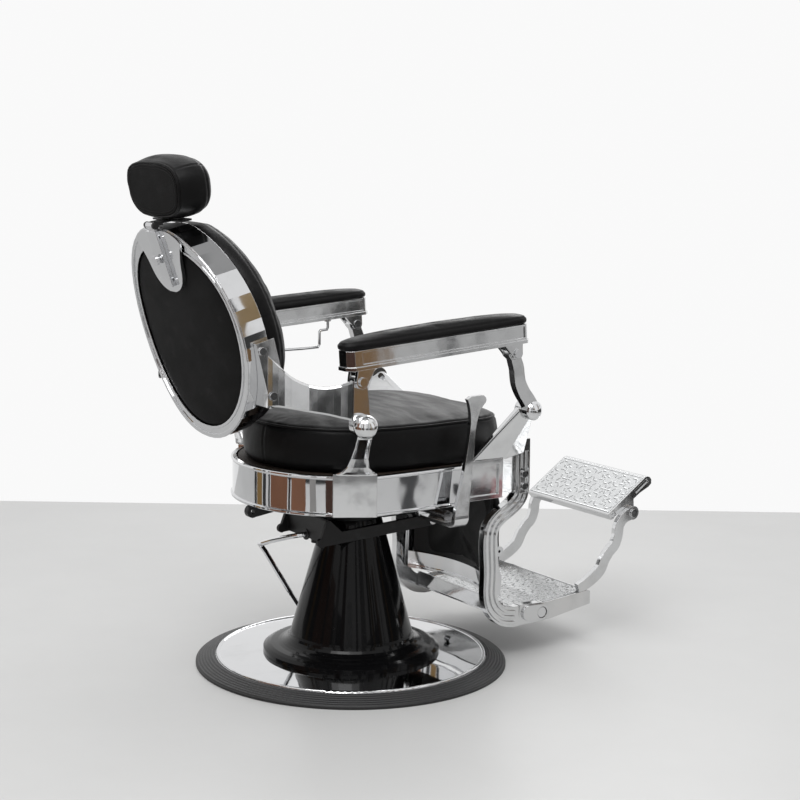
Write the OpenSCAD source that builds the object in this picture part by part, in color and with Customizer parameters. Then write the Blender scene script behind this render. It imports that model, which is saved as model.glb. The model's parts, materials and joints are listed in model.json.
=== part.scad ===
// Hydraulic barber chair with a reclining oval back, linked armrests and a two-step footrest.
// The chair faces -Y, its left side is +X, and the floor is Z = 0 under the middle of the base.

/* [Base] */
// Outer radius of the rubber floor ring
base_r = 335; // [315:5:360]
// Width of the rubber ring
rubber_w = 42; // [32:1:55]
// Height of the rubber ring at its inner edge
rubber_h = 20; // [16:1:26]
// Number of grip ribs on the rubber ring
rubber_ribs = 5; // [3:1:7]
// Outer radius of the foot of the column cover
cone_foot_r = 190; // [175:1:205]
// Radius of the column cover just above its foot
cone_low_r = 131; // [122:1:138]
// Radius of the column cover at its top
cone_top_r = 62; // [60:1:68]
// Height of the top of the column cover
cone_top_z = 320; // [300:5:330]
// Wall of the column cover
cone_wall = 3; // [2:0.5:5]

/* [Pump] */
// Radius of the lifting ram
ram_r = 36; // [30:1:38]
// Wall of the pump cylinder
cylinder_wall = 11; // [9:0.5:13]
// Thickness of the bars of the pedal fork
fork_t = 8; // [5:0.5:10]
// Height of the bars of the pedal fork
fork_h = 25; // [20:1:28]
// Radius of the chrome pedal rod
rod_r = 5.5; // [4:0.5:7]
// Radius of the pump plunger
plunger_r = 7; // [5:0.5:8]

/* [Seat] */
// Radius of the seat ring
ring_r = 246; // [242:1:250]
// Height of the lower edge of the seat ring above the floor, seat fully down
ring_z = 372; // [371:1:376]
// Height of the seat ring
ring_h = 83; // [78:1:88]
// Wall of the seat ring
ring_wall = 8; // [7:0.5:10]
// Half the width of the seat across the ring's flat sides
rail_x = 231; // [229:0.5:233]
// Half the width of the seat cushion
cushion_x = 221; // [210:1:224]
// How far the seat cushion reaches forward of the middle
cushion_front = 290; // [270:1:300]
// Height of the seat cushion's top at its crown
cushion_top = 561; // [540:1:570]

/* [Back] */
// Lean of the middle of the back from upright, in degrees
back_lean = 14.9; // [13.5:0.1:16]
// Half the width of the back's rim
back_a = 218; // [212:0.5:219]
// Height of the back's rim above its middle
back_up = 229; // [222:1:230]
// Depth of the back's rim below its middle
back_down = 207; // [200:1:209]
// How far the back curves away from straight 200 mm from its middle
back_bow = 15.7; // [13:0.1:17]
// Depth of the chrome band round the back
band_d = 48; // [42:1:50]
// Thickness of the back cushion in front of the band
back_cushion_d = 66; // [58:1:76]

/* [Headrest] */
// Half the width of the headrest cushion
head_x = 114; // [100:1:125]
// Height of the headrest cushion
head_h = 122; // [110:1:130]
// Depth of the headrest cushion, front to back
head_d = 88; // [78:1:96]
// Width of the headrest's flat post
post_w = 26; // [20:1:30]

/* [Arms] */
// Distance of each armrest from the middle
arm_x = 298; // [296:0.5:302]
// Length of the armrest rail
rail_len = 433; // [425:1:445]
// Width of the armrest rail
rail_w = 50; // [46:1:54]
// Height of the armrest rail
rail_h = 38; // [34:1:42]
// Width of the armrest pad
pad_w = 62; // [56:1:66]
// Thickness of the armrest pad
pad_h = 27; // [22:1:30]
// Radius of the hip and link pivot pins
pivot_r = 8; // [7:0.5:9]
// Radius of the armrest pins
arm_pin_r = 6; // [5:0.5:7]

/* [Leg rest] */
// Distance from the middle to the inner face of each leg casting
leg_x = 158; // [157.8:0.1:160]
// Width of the leg casting's band, seen from the side
leg_w = 40; // [36:1:42]
// Thickness of the leg casting
leg_t = 18; // [16:0.5:20]
// Radius of the curve of the calf panel
calf_r = 315; // [311:1:320]

/* [Footrest] */
// Half the width of the lower foot plate
foot_x = 157.5; // [155:0.1:157.5]
// Half the width of the upper foot plate
step_x = 146; // [140:0.5:146]
// Depth of the upper foot plate, front to back
step_d = 135; // [125:1:150]
// Thickness of the upper foot plate
step_t = 20; // [16:1:21]
// Radius of the foot pins
foot_pin_r = 8; // [6:0.5:9]

/* [Lever] */
// Thickness of the recline lever
lever_t = 10; // [8:0.5:11]
// Radius of the lever's shaft
shaft_r = 7.5; // [6:0.5:8]

/* [Hidden] */
$fn = 64;
seat_gap = 0.3;      // gap between pieces that touch on the real chair
run_gap = 0.05;      // radial clearance of a pin that turns in its bore
wall_t = 5;          // wall of the cast foot plates
open_gap = 1.3;      // clearance of the eye that closes the armrest's four-bar chain

// Pivots as [y, z]: hip, armrest rear, armrest front, link foot
hip = [172, 573];
arm_rear = [177, 660];
arm_front = [-190, 694];
link_foot = [-244, 571];
ring_c = 12;         // y of the centre of the seat ring's round part
ring_top = ring_z + ring_h;

// Base
plate_r = base_r - rubber_w + 4;
plate_top = rubber_h + 1;
base_top = plate_top + 4;
cyl_r = ram_r + cylinder_wall;
cyl_z = 8;
cyl_top = cone_top_z + 1;
ram_bottom = 62;
ram_top = 344;
spigot_r = 20;
head_z = cone_top_z + 1;
head_t = 15;
fulcrum = [-150, 309];
plunger_y = 90;
fork_x = 76;
pedal_points = [[0, 123, 292], [3, 128, 291.5], [16, 136, 287.5], [96, 166, 259], [112, 150, 236], [158, 43, 96], [170, 16, 72],
                [182, -6, 65], [192, -28, 64], [192, -42, 64], [192, -104, 64]];

// Armrest: the rail's rear bottom corner and its rise towards the front
rail_rear = [217, 684];
rail_rise = 4.27;

// Headrest: places measured in the back's own plane, then along the post
post_u = 170;
post_out = 21.2;
post_lean = 4.2;
tilt_pin_s = 68;
head_tilt = 10;

// Footrest
foot_pivot = [-383, 92];
step_pivot = [-663, 279];
step_rise = 34.4;
step_rear = [-596, 280];

// Lever
shaft_at = [-82, 354];
lever_x = -260;

// ---------- shared shapes ----------

function spow(v, e) = sign(v) * pow(abs(v), e);
function unit(v) = v / norm(v);

// Catmull-Rom curve through the points p, k steps between neighbours
function curve_at(p, i, t) =
  let (n = len(p) - 1, a = p[max(i - 1, 0)], b = p[i], c = p[min(i + 1, n)], d = p[min(i + 2, n)])
  0.5 * (2 * b + (c - a) * t + (2 * a - 5 * b + 4 * c - d) * t * t + (3 * b - a - 3 * c + d) * t * t * t);
function curve(p, k) = [for (i = [0 : len(p) - 2], j = [0 : k - 1]) curve_at(p, i, j / k), p[len(p) - 1]];

// Outline of a band along the flat path p of [a, b, width]; shift moves it sideways, part scales its width
function side_of(p, i) =
  let (a = p[max(i - 1, 0)], b = p[min(i + 1, len(p) - 1)], d = unit([b[0] - a[0], b[1] - a[1]])) [-d[1], d[0]];
function edge_of(p, s, shift) = [for (i = [0 : len(p) - 1]) [p[i][0], p[i][1]] + side_of(p, i) * (shift + s * p[i][2] / 2)];
function reversed(p) = [for (i = [len(p) - 1 : -1 : 0]) p[i]];
function ribbon(p, part = 1, shift = 0) = concat(edge_of(p, part, shift), reversed(edge_of(p, -part, shift)));

// Four corners of the straight web between two round eyes
function strap(a, ra, b, rb) =
  let (d = b - a, s = asin((ra - rb) / norm(d)), f = atan2(d[1], d[0]),
       u = [cos(f + 90 - s), sin(f + 90 - s)], v = [cos(f - 90 + s), sin(f - 90 + s)])
  [a + u * ra, b + u * rb, b + v * rb, a + v * ra];

// Oval with fuller corners (n > 2) and an upper half wider than the lower one (k > 0)
function oval(a, b, n, k, steps = 72, up = 0) =
  [for (i = [0 : steps - 1]) let (f = 360 * i / steps, v = b * spow(sin(f), 2 / n))
    [a * (1 + k * v / b) * spow(cos(f), 2 / n), v + up]];

// Closed loft through rings of equal, even length that turn left about the way they follow
module loft(rings) {
  n = len(rings[0]);
  m = len(rings);
  points = [for (r = rings) for (p = r) p];
  walls = [for (j = [0 : m - 2], i = [0 : n - 1]) let (a = j * n + i, b = j * n + (i + 1) % n) each
    [[a, b + n, b], [a, a + n, b + n]]];
  caps = [for (k = [0, 1], i = [0 : n / 2 - 2]) let (o = k * (m - 1) * n, a = o + i, b = a + 1, c = o + n - 2 - i, d = c + 1) each
    (k == 0 ? [[a, b, c], [a, c, d]] : [[a, c, b], [a, d, c]])];
  polyhedron(points, concat(walls, caps));
}

// Flat profile given as [y, z], standing at x0 and t thick towards +X
module side_plate(x0, t) {
  translate([x0, 0, 0]) rotate([90, 0, 90]) linear_extrude(t) children();
}

module pin_x(x0, x1, at, r) {
  translate([x0, at[0], at[1]]) rotate([0, 90, 0]) cylinder(h = x1 - x0, r = r);
}

module eye(at, r) {
  translate(at) circle(r);
}

module left_right(side) {
  if (side < 0) mirror([1, 0, 0]) children();
  else children();
}

// The back's own plane: x across, y = u up along the back, z = w out of its rear face
back_mid = [382.9, 725.9];
bow_r = 200 * 200 / (2 * back_bow);
function bow(u) = bow_r - sqrt(bow_r * bow_r - u * u);
module back_plane() {
  translate([0, back_mid[0], back_mid[1]]) rotate([90 - back_lean, 0, 0]) mirror([0, 0, 1]) children();
}

// What lies between two sheets that follow the curve of the back, w0 and w1 out of its rear face
module back_roll(w) {
  translate([-300, 0, w + bow_r]) rotate([0, 90, 0]) cylinder(h = 600, r = bow_r, $fn = 720);
}

module back_layer(w0, w1) {
  back_plane() difference() {
    intersection() {
      translate([0, 0, w0 - 1]) linear_extrude(w1 - w0 + 36) children();
      back_roll(w0);
    }
    back_roll(w1);
  }
}

// Plane of the headrest plate's outer face, a little steeper than the back
module post_plane() {
  back_plane() translate([0, post_u, post_out]) rotate([post_lean, 0, 0]) children();
}

// ---------- base and pump ----------

module base_ring() {
  inner = base_r - rubber_w;
  pitch = (rubber_w - 12) / rubber_ribs;
  color("#1b1b1c") {
    rotate_extrude($fn = 96) difference() {
      polygon([[inner, 0], [base_r, 0], [base_r, 5], [base_r - 4, 8], [inner + 6, rubber_h], [inner, rubber_h]]);
      translate([inner - 1, -1]) square([4 + 1 + seat_gap, plate_top - 5 + 1]);
    }
    for (i = [1 : rubber_ribs]) let (x = base_r - 4 - i * pitch)
      rotate_extrude($fn = 96)
        translate([x, 8 + (rubber_h - 8) * i * pitch / (rubber_w - 10) - 1.6]) circle(r = 1.5, $fn = 16);
  }
}

module base_plate() {
  color("#d9dcdf") difference() {
    union() {
      rotate_extrude($fn = 96)
        polygon([[0, 0], [plate_r, 0], [plate_r, plate_top - 5.4], [base_r - rubber_w - seat_gap, plate_top - 5.4],
                 [base_r - rubber_w - seat_gap, plate_top - 2], [base_r - rubber_w - 8, plate_top],
                 [cone_foot_r + 4, base_top], [cone_foot_r - 14, base_top], [cone_foot_r - 14, 9], [cyl_r + 54, 9],
                 [cyl_r + 54, base_top], [0, base_top]]);
      rotate_extrude($fn = 96) translate([base_r - rubber_w - 6, plate_top - 1]) circle(r = 4, $fn = 24);
    }
    translate([0, 0, cyl_z - seat_gap]) cylinder(h = 40, r = cyl_r + seat_gap);
    for (i = [0 : 5]) rotate(60 * i) translate([cyl_r + 35, 0, 7]) cylinder(h = 30, r = 5, $fn = 24);
  }
}

cover_base = base_top + seat_gap;
function cover_profile(d) = concat(
  [[cone_foot_r - d, cover_base], [cone_foot_r - d * 0.6, cover_base + 9 - d * 0.3]],
  [for (i = [0 : 4]) [cone_foot_r - 8 - d * 0.5 - 2 * i, cover_base + 14 - d + i * 0.8]],
  [for (i = [0 : 7]) let (f = 90 * i / 7, r = cone_foot_r - 24)
    [r - (r - cone_low_r) * sin(f) - d * sin(f), cover_base + 18 - d + 26 * (1 - cos(f))]],
  [[cone_top_r - d, cone_top_z - d * 0]]);

module column_cover() {
  color("#0c0c0d") difference() {
    rotate_extrude($fn = 96) polygon(concat(cover_profile(0), reversed(cover_profile(cone_wall))));
  }
}

module pump_cylinder() {
  color("#5c6064") difference() {
    union() {
      translate([0, 0, cyl_z]) cylinder(h = cyl_top - cyl_z, r = cyl_r);
      translate([0, 0, base_top + seat_gap]) cylinder(h = 8, r = cyl_r + 46);
    }
    translate([0, 0, cyl_z + 16]) cylinder(h = cyl_top, r = ram_r + run_gap);
    for (i = [0 : 5]) rotate(60 * i) translate([cyl_r + 35, 0, 4]) cylinder(h = 60, r = 5, $fn = 24);
  }
}

module cylinder_bolts() {
  color("#8a8d90") for (i = [0 : 5]) rotate(60 * i) translate([cyl_r + 35, 0, 0]) {
    translate([0, 0, 9]) cylinder(h = base_top + 5, r = 5, $fn = 24);
    translate([0, 0, base_top + 8 + 2 * seat_gap]) cylinder(h = 6, r = 8, $fn = 6);
  }
}

module pump_head() {
  color("#17181a") difference() {
    union() {
      translate([0, 0, head_z + seat_gap]) cylinder(h = head_t, r = cone_top_r + 2);
      translate([-26, -132, head_z + seat_gap]) cube([52, 120, 13]);
      for (s = [-1, 1]) side_plate(s * 50 - 9, 18) {
        eye(fulcrum, 13);
        polygon([[-150, 296], [-126, 300], [-112, head_z + 1], [-40, head_z + 1], [-40, head_z + 13], [-150, head_z + 1]]);
      }
      translate([-59, -140, head_z + 1]) cube([118, 100, 11]);
      translate([-20, 40, head_z + seat_gap]) cube([40, 37.5, 8]);
      translate([-20, 73, 287]) cube([40, 4.5, head_z + 8 - 287]);
      translate([-8, 75, 287]) cube([16, plunger_y - 75, 15]);
      translate([0, plunger_y, 272]) cylinder(h = 30, r = plunger_r + 4.5);
    }
    translate([0, 0, head_z - 60]) cylinder(h = 60 + head_t + 2, r = ram_r + 2);
    translate([0, plunger_y, 260]) cylinder(h = 100, r = plunger_r + run_gap);
    pin_x(-80, 80, fulcrum, arm_pin_r);
    translate([0, 0, 250]) cylinder(h = head_z - 250, r = cone_top_r + 10);
  }
}

module fork_pin() {
  color("#a8abae") {
    pin_x(-fork_x - fork_t - seat_gap, fork_x + fork_t + seat_gap, fulcrum, arm_pin_r);
    for (s = [-1, 1]) pin_x(s * (fork_x + fork_t + seat_gap + 2.5) - 2.5, s * (fork_x + fork_t + seat_gap + 2.5) + 2.5, fulcrum, 9.5);
  }
}

fork_rear = 108;
module pedal_fork() {
  color("#141517") difference() {
    union() {
      for (s = [-1, 1]) side_plate(s * (fork_x + fork_t / 2) - fork_t / 2, fork_t) {
        polygon([[fulcrum[0], fulcrum[1] - fork_h / 2], [fulcrum[0], fulcrum[1] + fork_h / 2],
                 [fork_rear - 28, 310], [fork_rear, 336], [fork_rear + 8, 336], [fork_rear + 22, 300], [fork_rear + 22, 283]]);
        eye([fork_rear + 22, 291], 9);
        eye(fulcrum, fork_h / 2);
      }
      translate([-fork_x - 1, fork_rear, 286]) cube([2 * fork_x + 2, 8, 50]);
      translate([-18, plunger_y - 10, 331]) cube([36, fork_rear - plunger_y + 12, 6]);
      translate([0, fork_rear + 7, 292]) rotate([-90, 0, 0]) cylinder(h = 3, r = rod_r + 6);
    }
    pin_x(-120, 120, fulcrum, arm_pin_r + run_gap);
    translate([0, 0, 250]) cylinder(h = 120, r = cone_top_r + 12);
  }
}

// Round rod along a list of points, mitred at its bends
module rod_along(p, r, sides) {
  n = len(p);
  loft([for (i = [0 : n - 1]) let (
      a = unit(p[i] - p[max(i - 1, 0)] + (i == 0 ? p[1] - p[0] : [0, 0, 0])),
      b = unit(p[min(i + 1, n - 1)] - p[i] + (i == n - 1 ? p[n - 1] - p[n - 2] : [0, 0, 0])),
      t = unit(a + b), up = abs(t[2]) > 0.9 ? [0, 1, 0] : [0, 0, 1],
      u = unit(cross(up, t)), v = cross(t, u))
    [for (j = [0 : sides - 1]) p[i] + r * (cos(360 * j / sides) * u + sin(360 * j / sides) * v)]]);
}

module pedal_rod() {
  color("#d9dcdf") rod_along(concat([[0, fork_rear + 10 + seat_gap, 292]], curve(pedal_points, 3)), rod_r, 12);
}

module pedal_sleeve() {
  e = pedal_points[len(pedal_points) - 1];
  color("#1b1b1c") difference() {
    union() {
      translate([e[0], e[1] + 56, e[2]]) rotate([90, 0, 0]) cylinder(h = 62, r = rod_r + 6);
      for (i = [0 : 4]) translate([e[0], e[1] + 50 - i * 11, e[2]]) rotate([90, 0, 0]) cylinder(h = 5, r = rod_r + 7.2);
    }
    translate([e[0], e[1] + 70, e[2]]) rotate([90, 0, 0]) cylinder(h = 70.5, r = rod_r + seat_gap);
  }
}

module pump_plunger() {
  color("#c9ccd0") {
    translate([0, plunger_y, 276]) cylinder(h = 52, r = plunger_r);
    translate([0, plunger_y, 328]) cylinder(h = 2.3, r = plunger_r + 2);
  }
}

// ---------- lift ----------

module lift_ram() {
  color("#c9ccd0") {
    translate([0, 0, ram_bottom]) cylinder(h = ram_top - ram_bottom, r = ram_r);
    translate([0, 0, ram_top]) cylinder(h = 64, r = spigot_r);
    translate([0, 0, ram_bottom - 14]) cylinder(h = 14, r = ram_r - 7);
  }
}

module swivel_nut() {
  color("#8a8d90") translate([0, 0, 387]) difference() {
    cylinder(h = 14, r = 31, $fn = 6);
    translate([0, 0, -1]) cylinder(h = 16, r = spigot_r);
  }
}

// ---------- seat ----------

module seat_bracket() {
  hub_z = ram_top + seat_gap;
  color("#141517") difference() {
    union() {
      translate([0, 0, hub_z]) cylinder(h = 386 - hub_z, r = 52);
      translate([-24, -236, ring_z + 1]) cube([48, 236 + ring_c + ring_r - ring_wall - 1.6, 13]);
      translate([-rail_x + ring_wall + seat_gap, -16, ring_z + 1]) cube([2 * (rail_x - ring_wall - seat_gap), 40, 13]);
      side_plate(-7, 14) {
        polygon([[180, ring_z + 2], [226, ring_z + 6], [244, ring_z - 3], [250, ring_z - 28], [150, ring_z - 14], [150, ring_z + 2]]);
        eye([248, ring_z - 15], 13);
      }
      for (x = [-118, -58]) side_plate(x, 9) {
        eye(shaft_at, shaft_r + 5);
        polygon([[shaft_at[0] - shaft_r - 5, shaft_at[1]], [shaft_at[0] + shaft_r + 5, shaft_at[1]],
                 [shaft_at[0] + shaft_r + 16, ring_z + 8], [shaft_at[0] - shaft_r - 5, ring_z + 8]]);
      }
      translate([-126, -100, ring_z + 1]) cube([126, 40, 13]);
    }
    translate([0, 0, 300]) cylinder(h = 200, r = spigot_r + run_gap);
    pin_x(-200, 0, shaft_at, shaft_r + run_gap);
    pin_x(-20, 20, [248, ring_z - 15], 5);
  }
}

// Cross-sections of the seat ring: rolled lower bead, band and rounded top lip, then the ledge for the board
function ring_section() = [
  [-ring_wall, 0], [2, 0], [3.6, 1.6], [3.6, 5], [2, 6.6], [0, 7.6], [0, ring_h - 8], [2.4, ring_h - 6.4],
  [3, ring_h - 3.6], [2.2, ring_h - 1.2], [0, ring_h], [-ring_wall, ring_h], [-ring_wall, ring_h - 2],
  [-ring_wall, 1]];
function ledge_section() = [[0.5 - ring_wall, ring_h - 13.3], [-ring_wall - 16, ring_h - 13.3], [-ring_wall - 16, ring_h - 17],
  [0.5 - ring_wall, ring_h - 26]];

flat_turn = acos(rail_x / ring_r);
flat_y = ring_c + ring_r * sin(flat_turn);
ring_front = -118;
post_turn = 29.5;
post_pad_w = 88;
pad_face = ring_r + 0.6;

module post_pad(grow) {
  rotate([0, 0, post_turn]) translate([pad_face - 5.5 - grow, -post_pad_w / 2 - grow, ring_z - 1 - grow])
    cube([5.5 + 30 * grow, post_pad_w + 2 * grow, ring_h + 5 + 2 * grow]);
}

module seat_ring() {
  color("#c8cbce") difference() {
    union() {
      translate([0, ring_c, ring_z]) rotate([0, 0, flat_turn])
        rotate_extrude(angle = 180 - 2 * flat_turn, $fn = 96) translate([ring_r, 0]) polygon(ring_section());
      for (s = [0, 1]) mirror([s, 0, 0]) translate([rail_x, flat_y + 1.5, ring_z]) rotate([90, 0, 0])
        linear_extrude(flat_y + 1.5 - ring_front) polygon(ring_section());
      translate([0, ring_c, ring_z]) rotate([0, 0, 40]) rotate_extrude(angle = 100, $fn = 96) translate([ring_r, 0]) polygon(ledge_section());
      for (s = [0, 1]) mirror([s, 0, 0]) translate([rail_x, 70, ring_z]) rotate([90, 0, 0])
        linear_extrude(180) polygon(ledge_section());
    }
    for (s = [0, 1]) mirror([s, 0, 0]) translate([0, ring_c, 0]) post_pad(0.2);
    for (s = [0, 1], v = [-24, 24]) mirror([s, 0, 0]) translate([0, ring_c, ring_z + 34]) rotate([0, 0, post_turn])
      translate([200, v, 0]) rotate([0, 90, 0]) cylinder(h = 60, r = 4.2, $fn = 24);
  }
}

// Plan outline of the seat: round behind, squared in front; d draws it in
function seat_outline(d, steps) = [for (i = [0 : steps - 1]) let (f = 360 * i / steps, n = sin(f) > 0 ? 2 : 4,
    b = sin(f) > 0 ? 226 : cushion_front + 15)
  [(cushion_x - d) * spow(cos(f), 2 / n), 15 + (b - d) * spow(sin(f), 2 / n)]];

board_top = ring_top - 1;
module seat_board() {
  color("#8c6b45") translate([0, 0, board_top - 12]) linear_extrude(12) difference() {
    union() {
      polygon(seat_outline(14, 72));
      intersection() {
        translate([0, ring_c]) circle(r = ring_r - ring_wall - 4, $fn = 96);
        translate([-rail_x + ring_wall + 4, ring_front + 4]) square([2 * (rail_x - ring_wall - 4), 400]);
      }
    }
    for (a = [0 : 3]) rotate(45 + 90 * a) translate([120, 0]) circle(r = 12);
  }
}

module seat_cushion() {
  base = board_top + seat_gap;
  edge = cushion_top - 17;
  rows = [[15, base], [7, base + 8], [2, base + 26], [0, base + 50], [1, edge - 12], [4, edge - 3], [7, edge], [5, edge + 2],
          [12, edge + 5], [40, edge + 11], [80, edge + 15], [130, edge + 17], [180, cushion_top + 0.6]];
  // the top falls a little towards the front edge
  function fall(y, z) = 5 * pow(max(0, (-y - 110) / 180), 1.5) * (z - base) / 107;
  color("#151516") loft([for (r = rows) [for (p = seat_outline(r[0], 40)) [p[0], p[1], r[1] - fall(p[1], r[1])]]]);
}

module rear_post(side) {
  foot = [215.5, ring_c + 120];
  top = [309, hip[0]];
  z0 = ring_top + 4.5;
  rows = [[0, z0, 43, 17], [0.02, z0 + 3, 42, 16.5], [0.1, z0 + 9, 32, 14.5], [0.2, z0 + 20, 23, 12.5],
          [0.37, z0 + 40, 18, 11], [0.62, z0 + 64, 15.5, 10], [0.88, z0 + 88, 15, 9.5], [1, hip[1] - 8, 14.5, 9]];
  out = [cos(post_turn), sin(post_turn)];
  color("#c8cbce") left_right(side) difference() {
    union() {
      translate([0, ring_c, 0]) intersection() {
        post_pad(0);
        translate([0, 0, ring_z]) cylinder(h = ring_h + 4.6, r = 260);
      }
      translate([0, ring_c, ring_top + 0.4]) rotate([0, 0, post_turn])
        translate([pad_face - 30, -post_pad_w / 2, 0]) cube([30, post_pad_w, 4.2]);
      loft([for (r = rows) let (c = foot + (top - foot) * r[0])
        [for (i = [0 : 19]) let (f = 360 * i / 20, u = r[3] * spow(cos(f), 0.7), v = r[2] * spow(sin(f), 0.7))
          [c[0] + u * out[0] - v * out[1], c[1] + u * out[1] + v * out[0], r[1]]]]);
      translate([arm_x + 11, hip[0], hip[1]]) sphere(r = 24);
    }
    pin_x(arm_x - 60, arm_x - 1, hip, 24.5);
    pin_x(arm_x - 20, arm_x + 26, hip, pivot_r);
    for (v = [-24, 24]) translate([0, ring_c, ring_z + 34]) rotate([0, 0, post_turn])
      translate([200, v, 0]) rotate([0, 90, 0]) cylinder(h = pad_face - 202, r = 4.2, $fn = 24);
  }
}

module hip_pins() {
  head = arm_x - 18.3;
  color("#d9dcdf") for (s = [0, 1]) mirror([s, 0, 0]) {
    pin_x(head, arm_x + 26, hip, pivot_r);
    pin_x(head - 4, head, hip, pivot_r + 5);
  }
}

// Front casting: side rail with its panel, the wall that turns in to the leg, and the leaning arm to the link
rail_z0 = ring_z + 5;
rail_z1 = ring_top + 6;
rail_front = -225;
column_front = -341;
hub_x = arm_x - 32;
module front_casting(side) {
  plan = [[rail_x, ring_front - seat_gap], [rail_x, rail_front], [leg_x + leg_t + 7, -297], [leg_x - seat_gap, -297],
          [leg_x - seat_gap, column_front], [leg_x - 22, column_front], [leg_x - 22, -290], [rail_x - 18, rail_front + 6],
          [rail_x - 18, ring_front - seat_gap]];
  color("#c8cbce") left_right(side) difference() {
    union() {
      translate([0, 0, rail_z0]) linear_extrude(rail_z1 - rail_z0) polygon(plan);
      translate([leg_x - 22, column_front, rail_z1 - 2]) cube([22 - seat_gap, 45, 22]);
      // strut: a leaning web from the rail and the head of the leg casting up to the hub
      hull() {
        translate([rail_x - 12, -152, rail_z1 - 3]) cube([8, 4, 6]);
        translate([leg_x + leg_t + 5.5, -312, rail_z1 - 3]) cube([8, 20, 34]);
        translate([rail_x - 12, -230, rail_z1 - 4]) cube([8, 4, 3]);
        pin_x(hub_x + 8, hub_x + 18, link_foot, 18);
      }
      translate([leg_x - 14, -304, rail_z1 - 6]) cube([13, 22, 26]);
      hull() {
        translate([leg_x - 12, -304, rail_z1 + 2]) cube([10, 4, 18]);
        translate([leg_x + leg_t + 5.5, -300.4, rail_z1 + 2]) cube([6, 8, 24]);
      }
      pin_x(hub_x, hub_x + 22.4, link_foot, 20);
    }
    // room for the cushion and the top of the leg casting
    translate([0, 0, board_top - 1]) linear_extrude(120) polygon(seat_outline(-0.6, 72));
    translate([leg_x - seat_gap, -345, rail_z0 - 1]) cube([leg_t + 5, 44.2, 113]);
    // recessed panel of the rail
    translate([rail_x - 5, ring_front - 97, rail_z0 + 9]) cube([10, 84, rail_z1 - rail_z0 - 20]);
    pin_x(hub_x - 30, hub_x + 60, link_foot, pivot_r);
    for (z = leg_bolt_z) pin_x(leg_x - 40, leg_x + 10, [leg_bolt_y, z], 5);
    translate([0, ring_front - 12, rail_z1 - 10]) rotate([0, 90, 0]) cylinder(h = 400, r = 2.6, $fn = 24);
  }
}

leg_bolt_y = -326;
leg_bolt_z = [407, 380];

module front_apron() {
  color("#c8cbce") difference() {
    translate([-leg_x + 22 + seat_gap, -331, rail_z0]) cube([2 * (leg_x - 22 - seat_gap), 12, 70]);
    translate([-100, -340, rail_z0 + 12]) cube([200, 12, 46]);
  }
}

module link_pins() {
  color("#d9dcdf") for (s = [0, 1]) mirror([s, 0, 0]) {
    pin_x(hub_x - 3, arm_x + 9.3, link_foot, pivot_r);
    translate([arm_x + 9.3, link_foot[0], link_foot[1]]) rotate([0, 90, 0]) rotate_extrude()
      polygon([[0, 0], [20, 0], for (i = [1 : 6]) let (a = 56.3 * (1 - i / 6)) [24 * sin(a), 24 * cos(a) - 13.3]]);
  }
}

// Leg casting: an S-shaped band with three ridges, ending in the foot pivot
leg_path = [[-321, 484, 39], [-322, 425, 39], [-322, 372, 38], [-312, 350, 36], [-290, 334, 33], [-264, 319, 33],
            [-247, 303, 35], [-240, 283, 36], [-240, 250, leg_w - 2], [-243, 200, leg_w - 3], [-242, 150, leg_w - 4],
            [-252, 120, leg_w - 2], [-275, 99, leg_w + 2], [-302, 92, leg_w + 5], [-322, 92, leg_w + 6]];

module leg_casting(side) {
  line = curve(leg_path, 4);
  ridge = [for (i = [2 : len(line) - 4]) [line[i][0], line[i][1], 6]];
  color("#c8cbce") left_right(side) difference() {
    union() {
      side_plate(leg_x, leg_t) {
        polygon(ribbon(line));
        polygon(strap([-322, 93], 22.8, foot_pivot, 21.7));
        eye(foot_pivot, 22);
      }
      for (d = [-12, 0, 12]) side_plate(leg_x + leg_t - 1, 5) polygon(ribbon(ridge, 1, d));
      // oblong boss round the foot pivot
      side_plate(leg_x + leg_t - 1, 6.5) {
        polygon(strap(foot_pivot, 19, foot_pivot + [36, 3], 17));
        eye(foot_pivot, 19);
        eye(foot_pivot + [36, 3], 17);
      }
    }
    // oblong recess with the two bolts
    translate([leg_x + leg_t - 2, leg_bolt_y - 9, leg_bolt_z[1] - 14]) cube([12, 18, leg_bolt_z[0] - leg_bolt_z[1] + 28]);
    for (z = leg_bolt_z) pin_x(leg_x - 10, leg_x + 40, [leg_bolt_y, z], 5 + run_gap);
    pin_x(leg_x - 10, leg_x + 40, foot_pivot, foot_pin_r);
    pin_x(leg_x + leg_t - 3, leg_x + 40, foot_pivot, 13);
  }
}

module leg_bolts() {
  color("#d9dcdf") for (s = [0, 1], z = leg_bolt_z) mirror([s, 0, 0]) {
    pin_x(leg_x - 21.5, leg_x + leg_t - 1.9, [leg_bolt_y, z], 5);
    pin_x(leg_x + leg_t - 1.9, leg_x + leg_t + 3, [leg_bolt_y, z], 7.5);
  }
}

// Calf rest: chrome band and side cheeks behind, black panel, black pad in front
calf_c = -296 + calf_r;
calf_turn = asin((leg_x - 4.3) / calf_r);
calf_side = calf_c - sqrt(calf_r * calf_r - pow(leg_x - 6.5, 2));
module calf_arc(r0, r1, z0, z1, turn) {
  translate([0, calf_c, 0]) rotate([0, 0, -90 - turn]) rotate_extrude(angle = 2 * turn, $fn = 180)
    translate([r0, z0]) square([r1 - r0, z1 - z0]);
}

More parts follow.
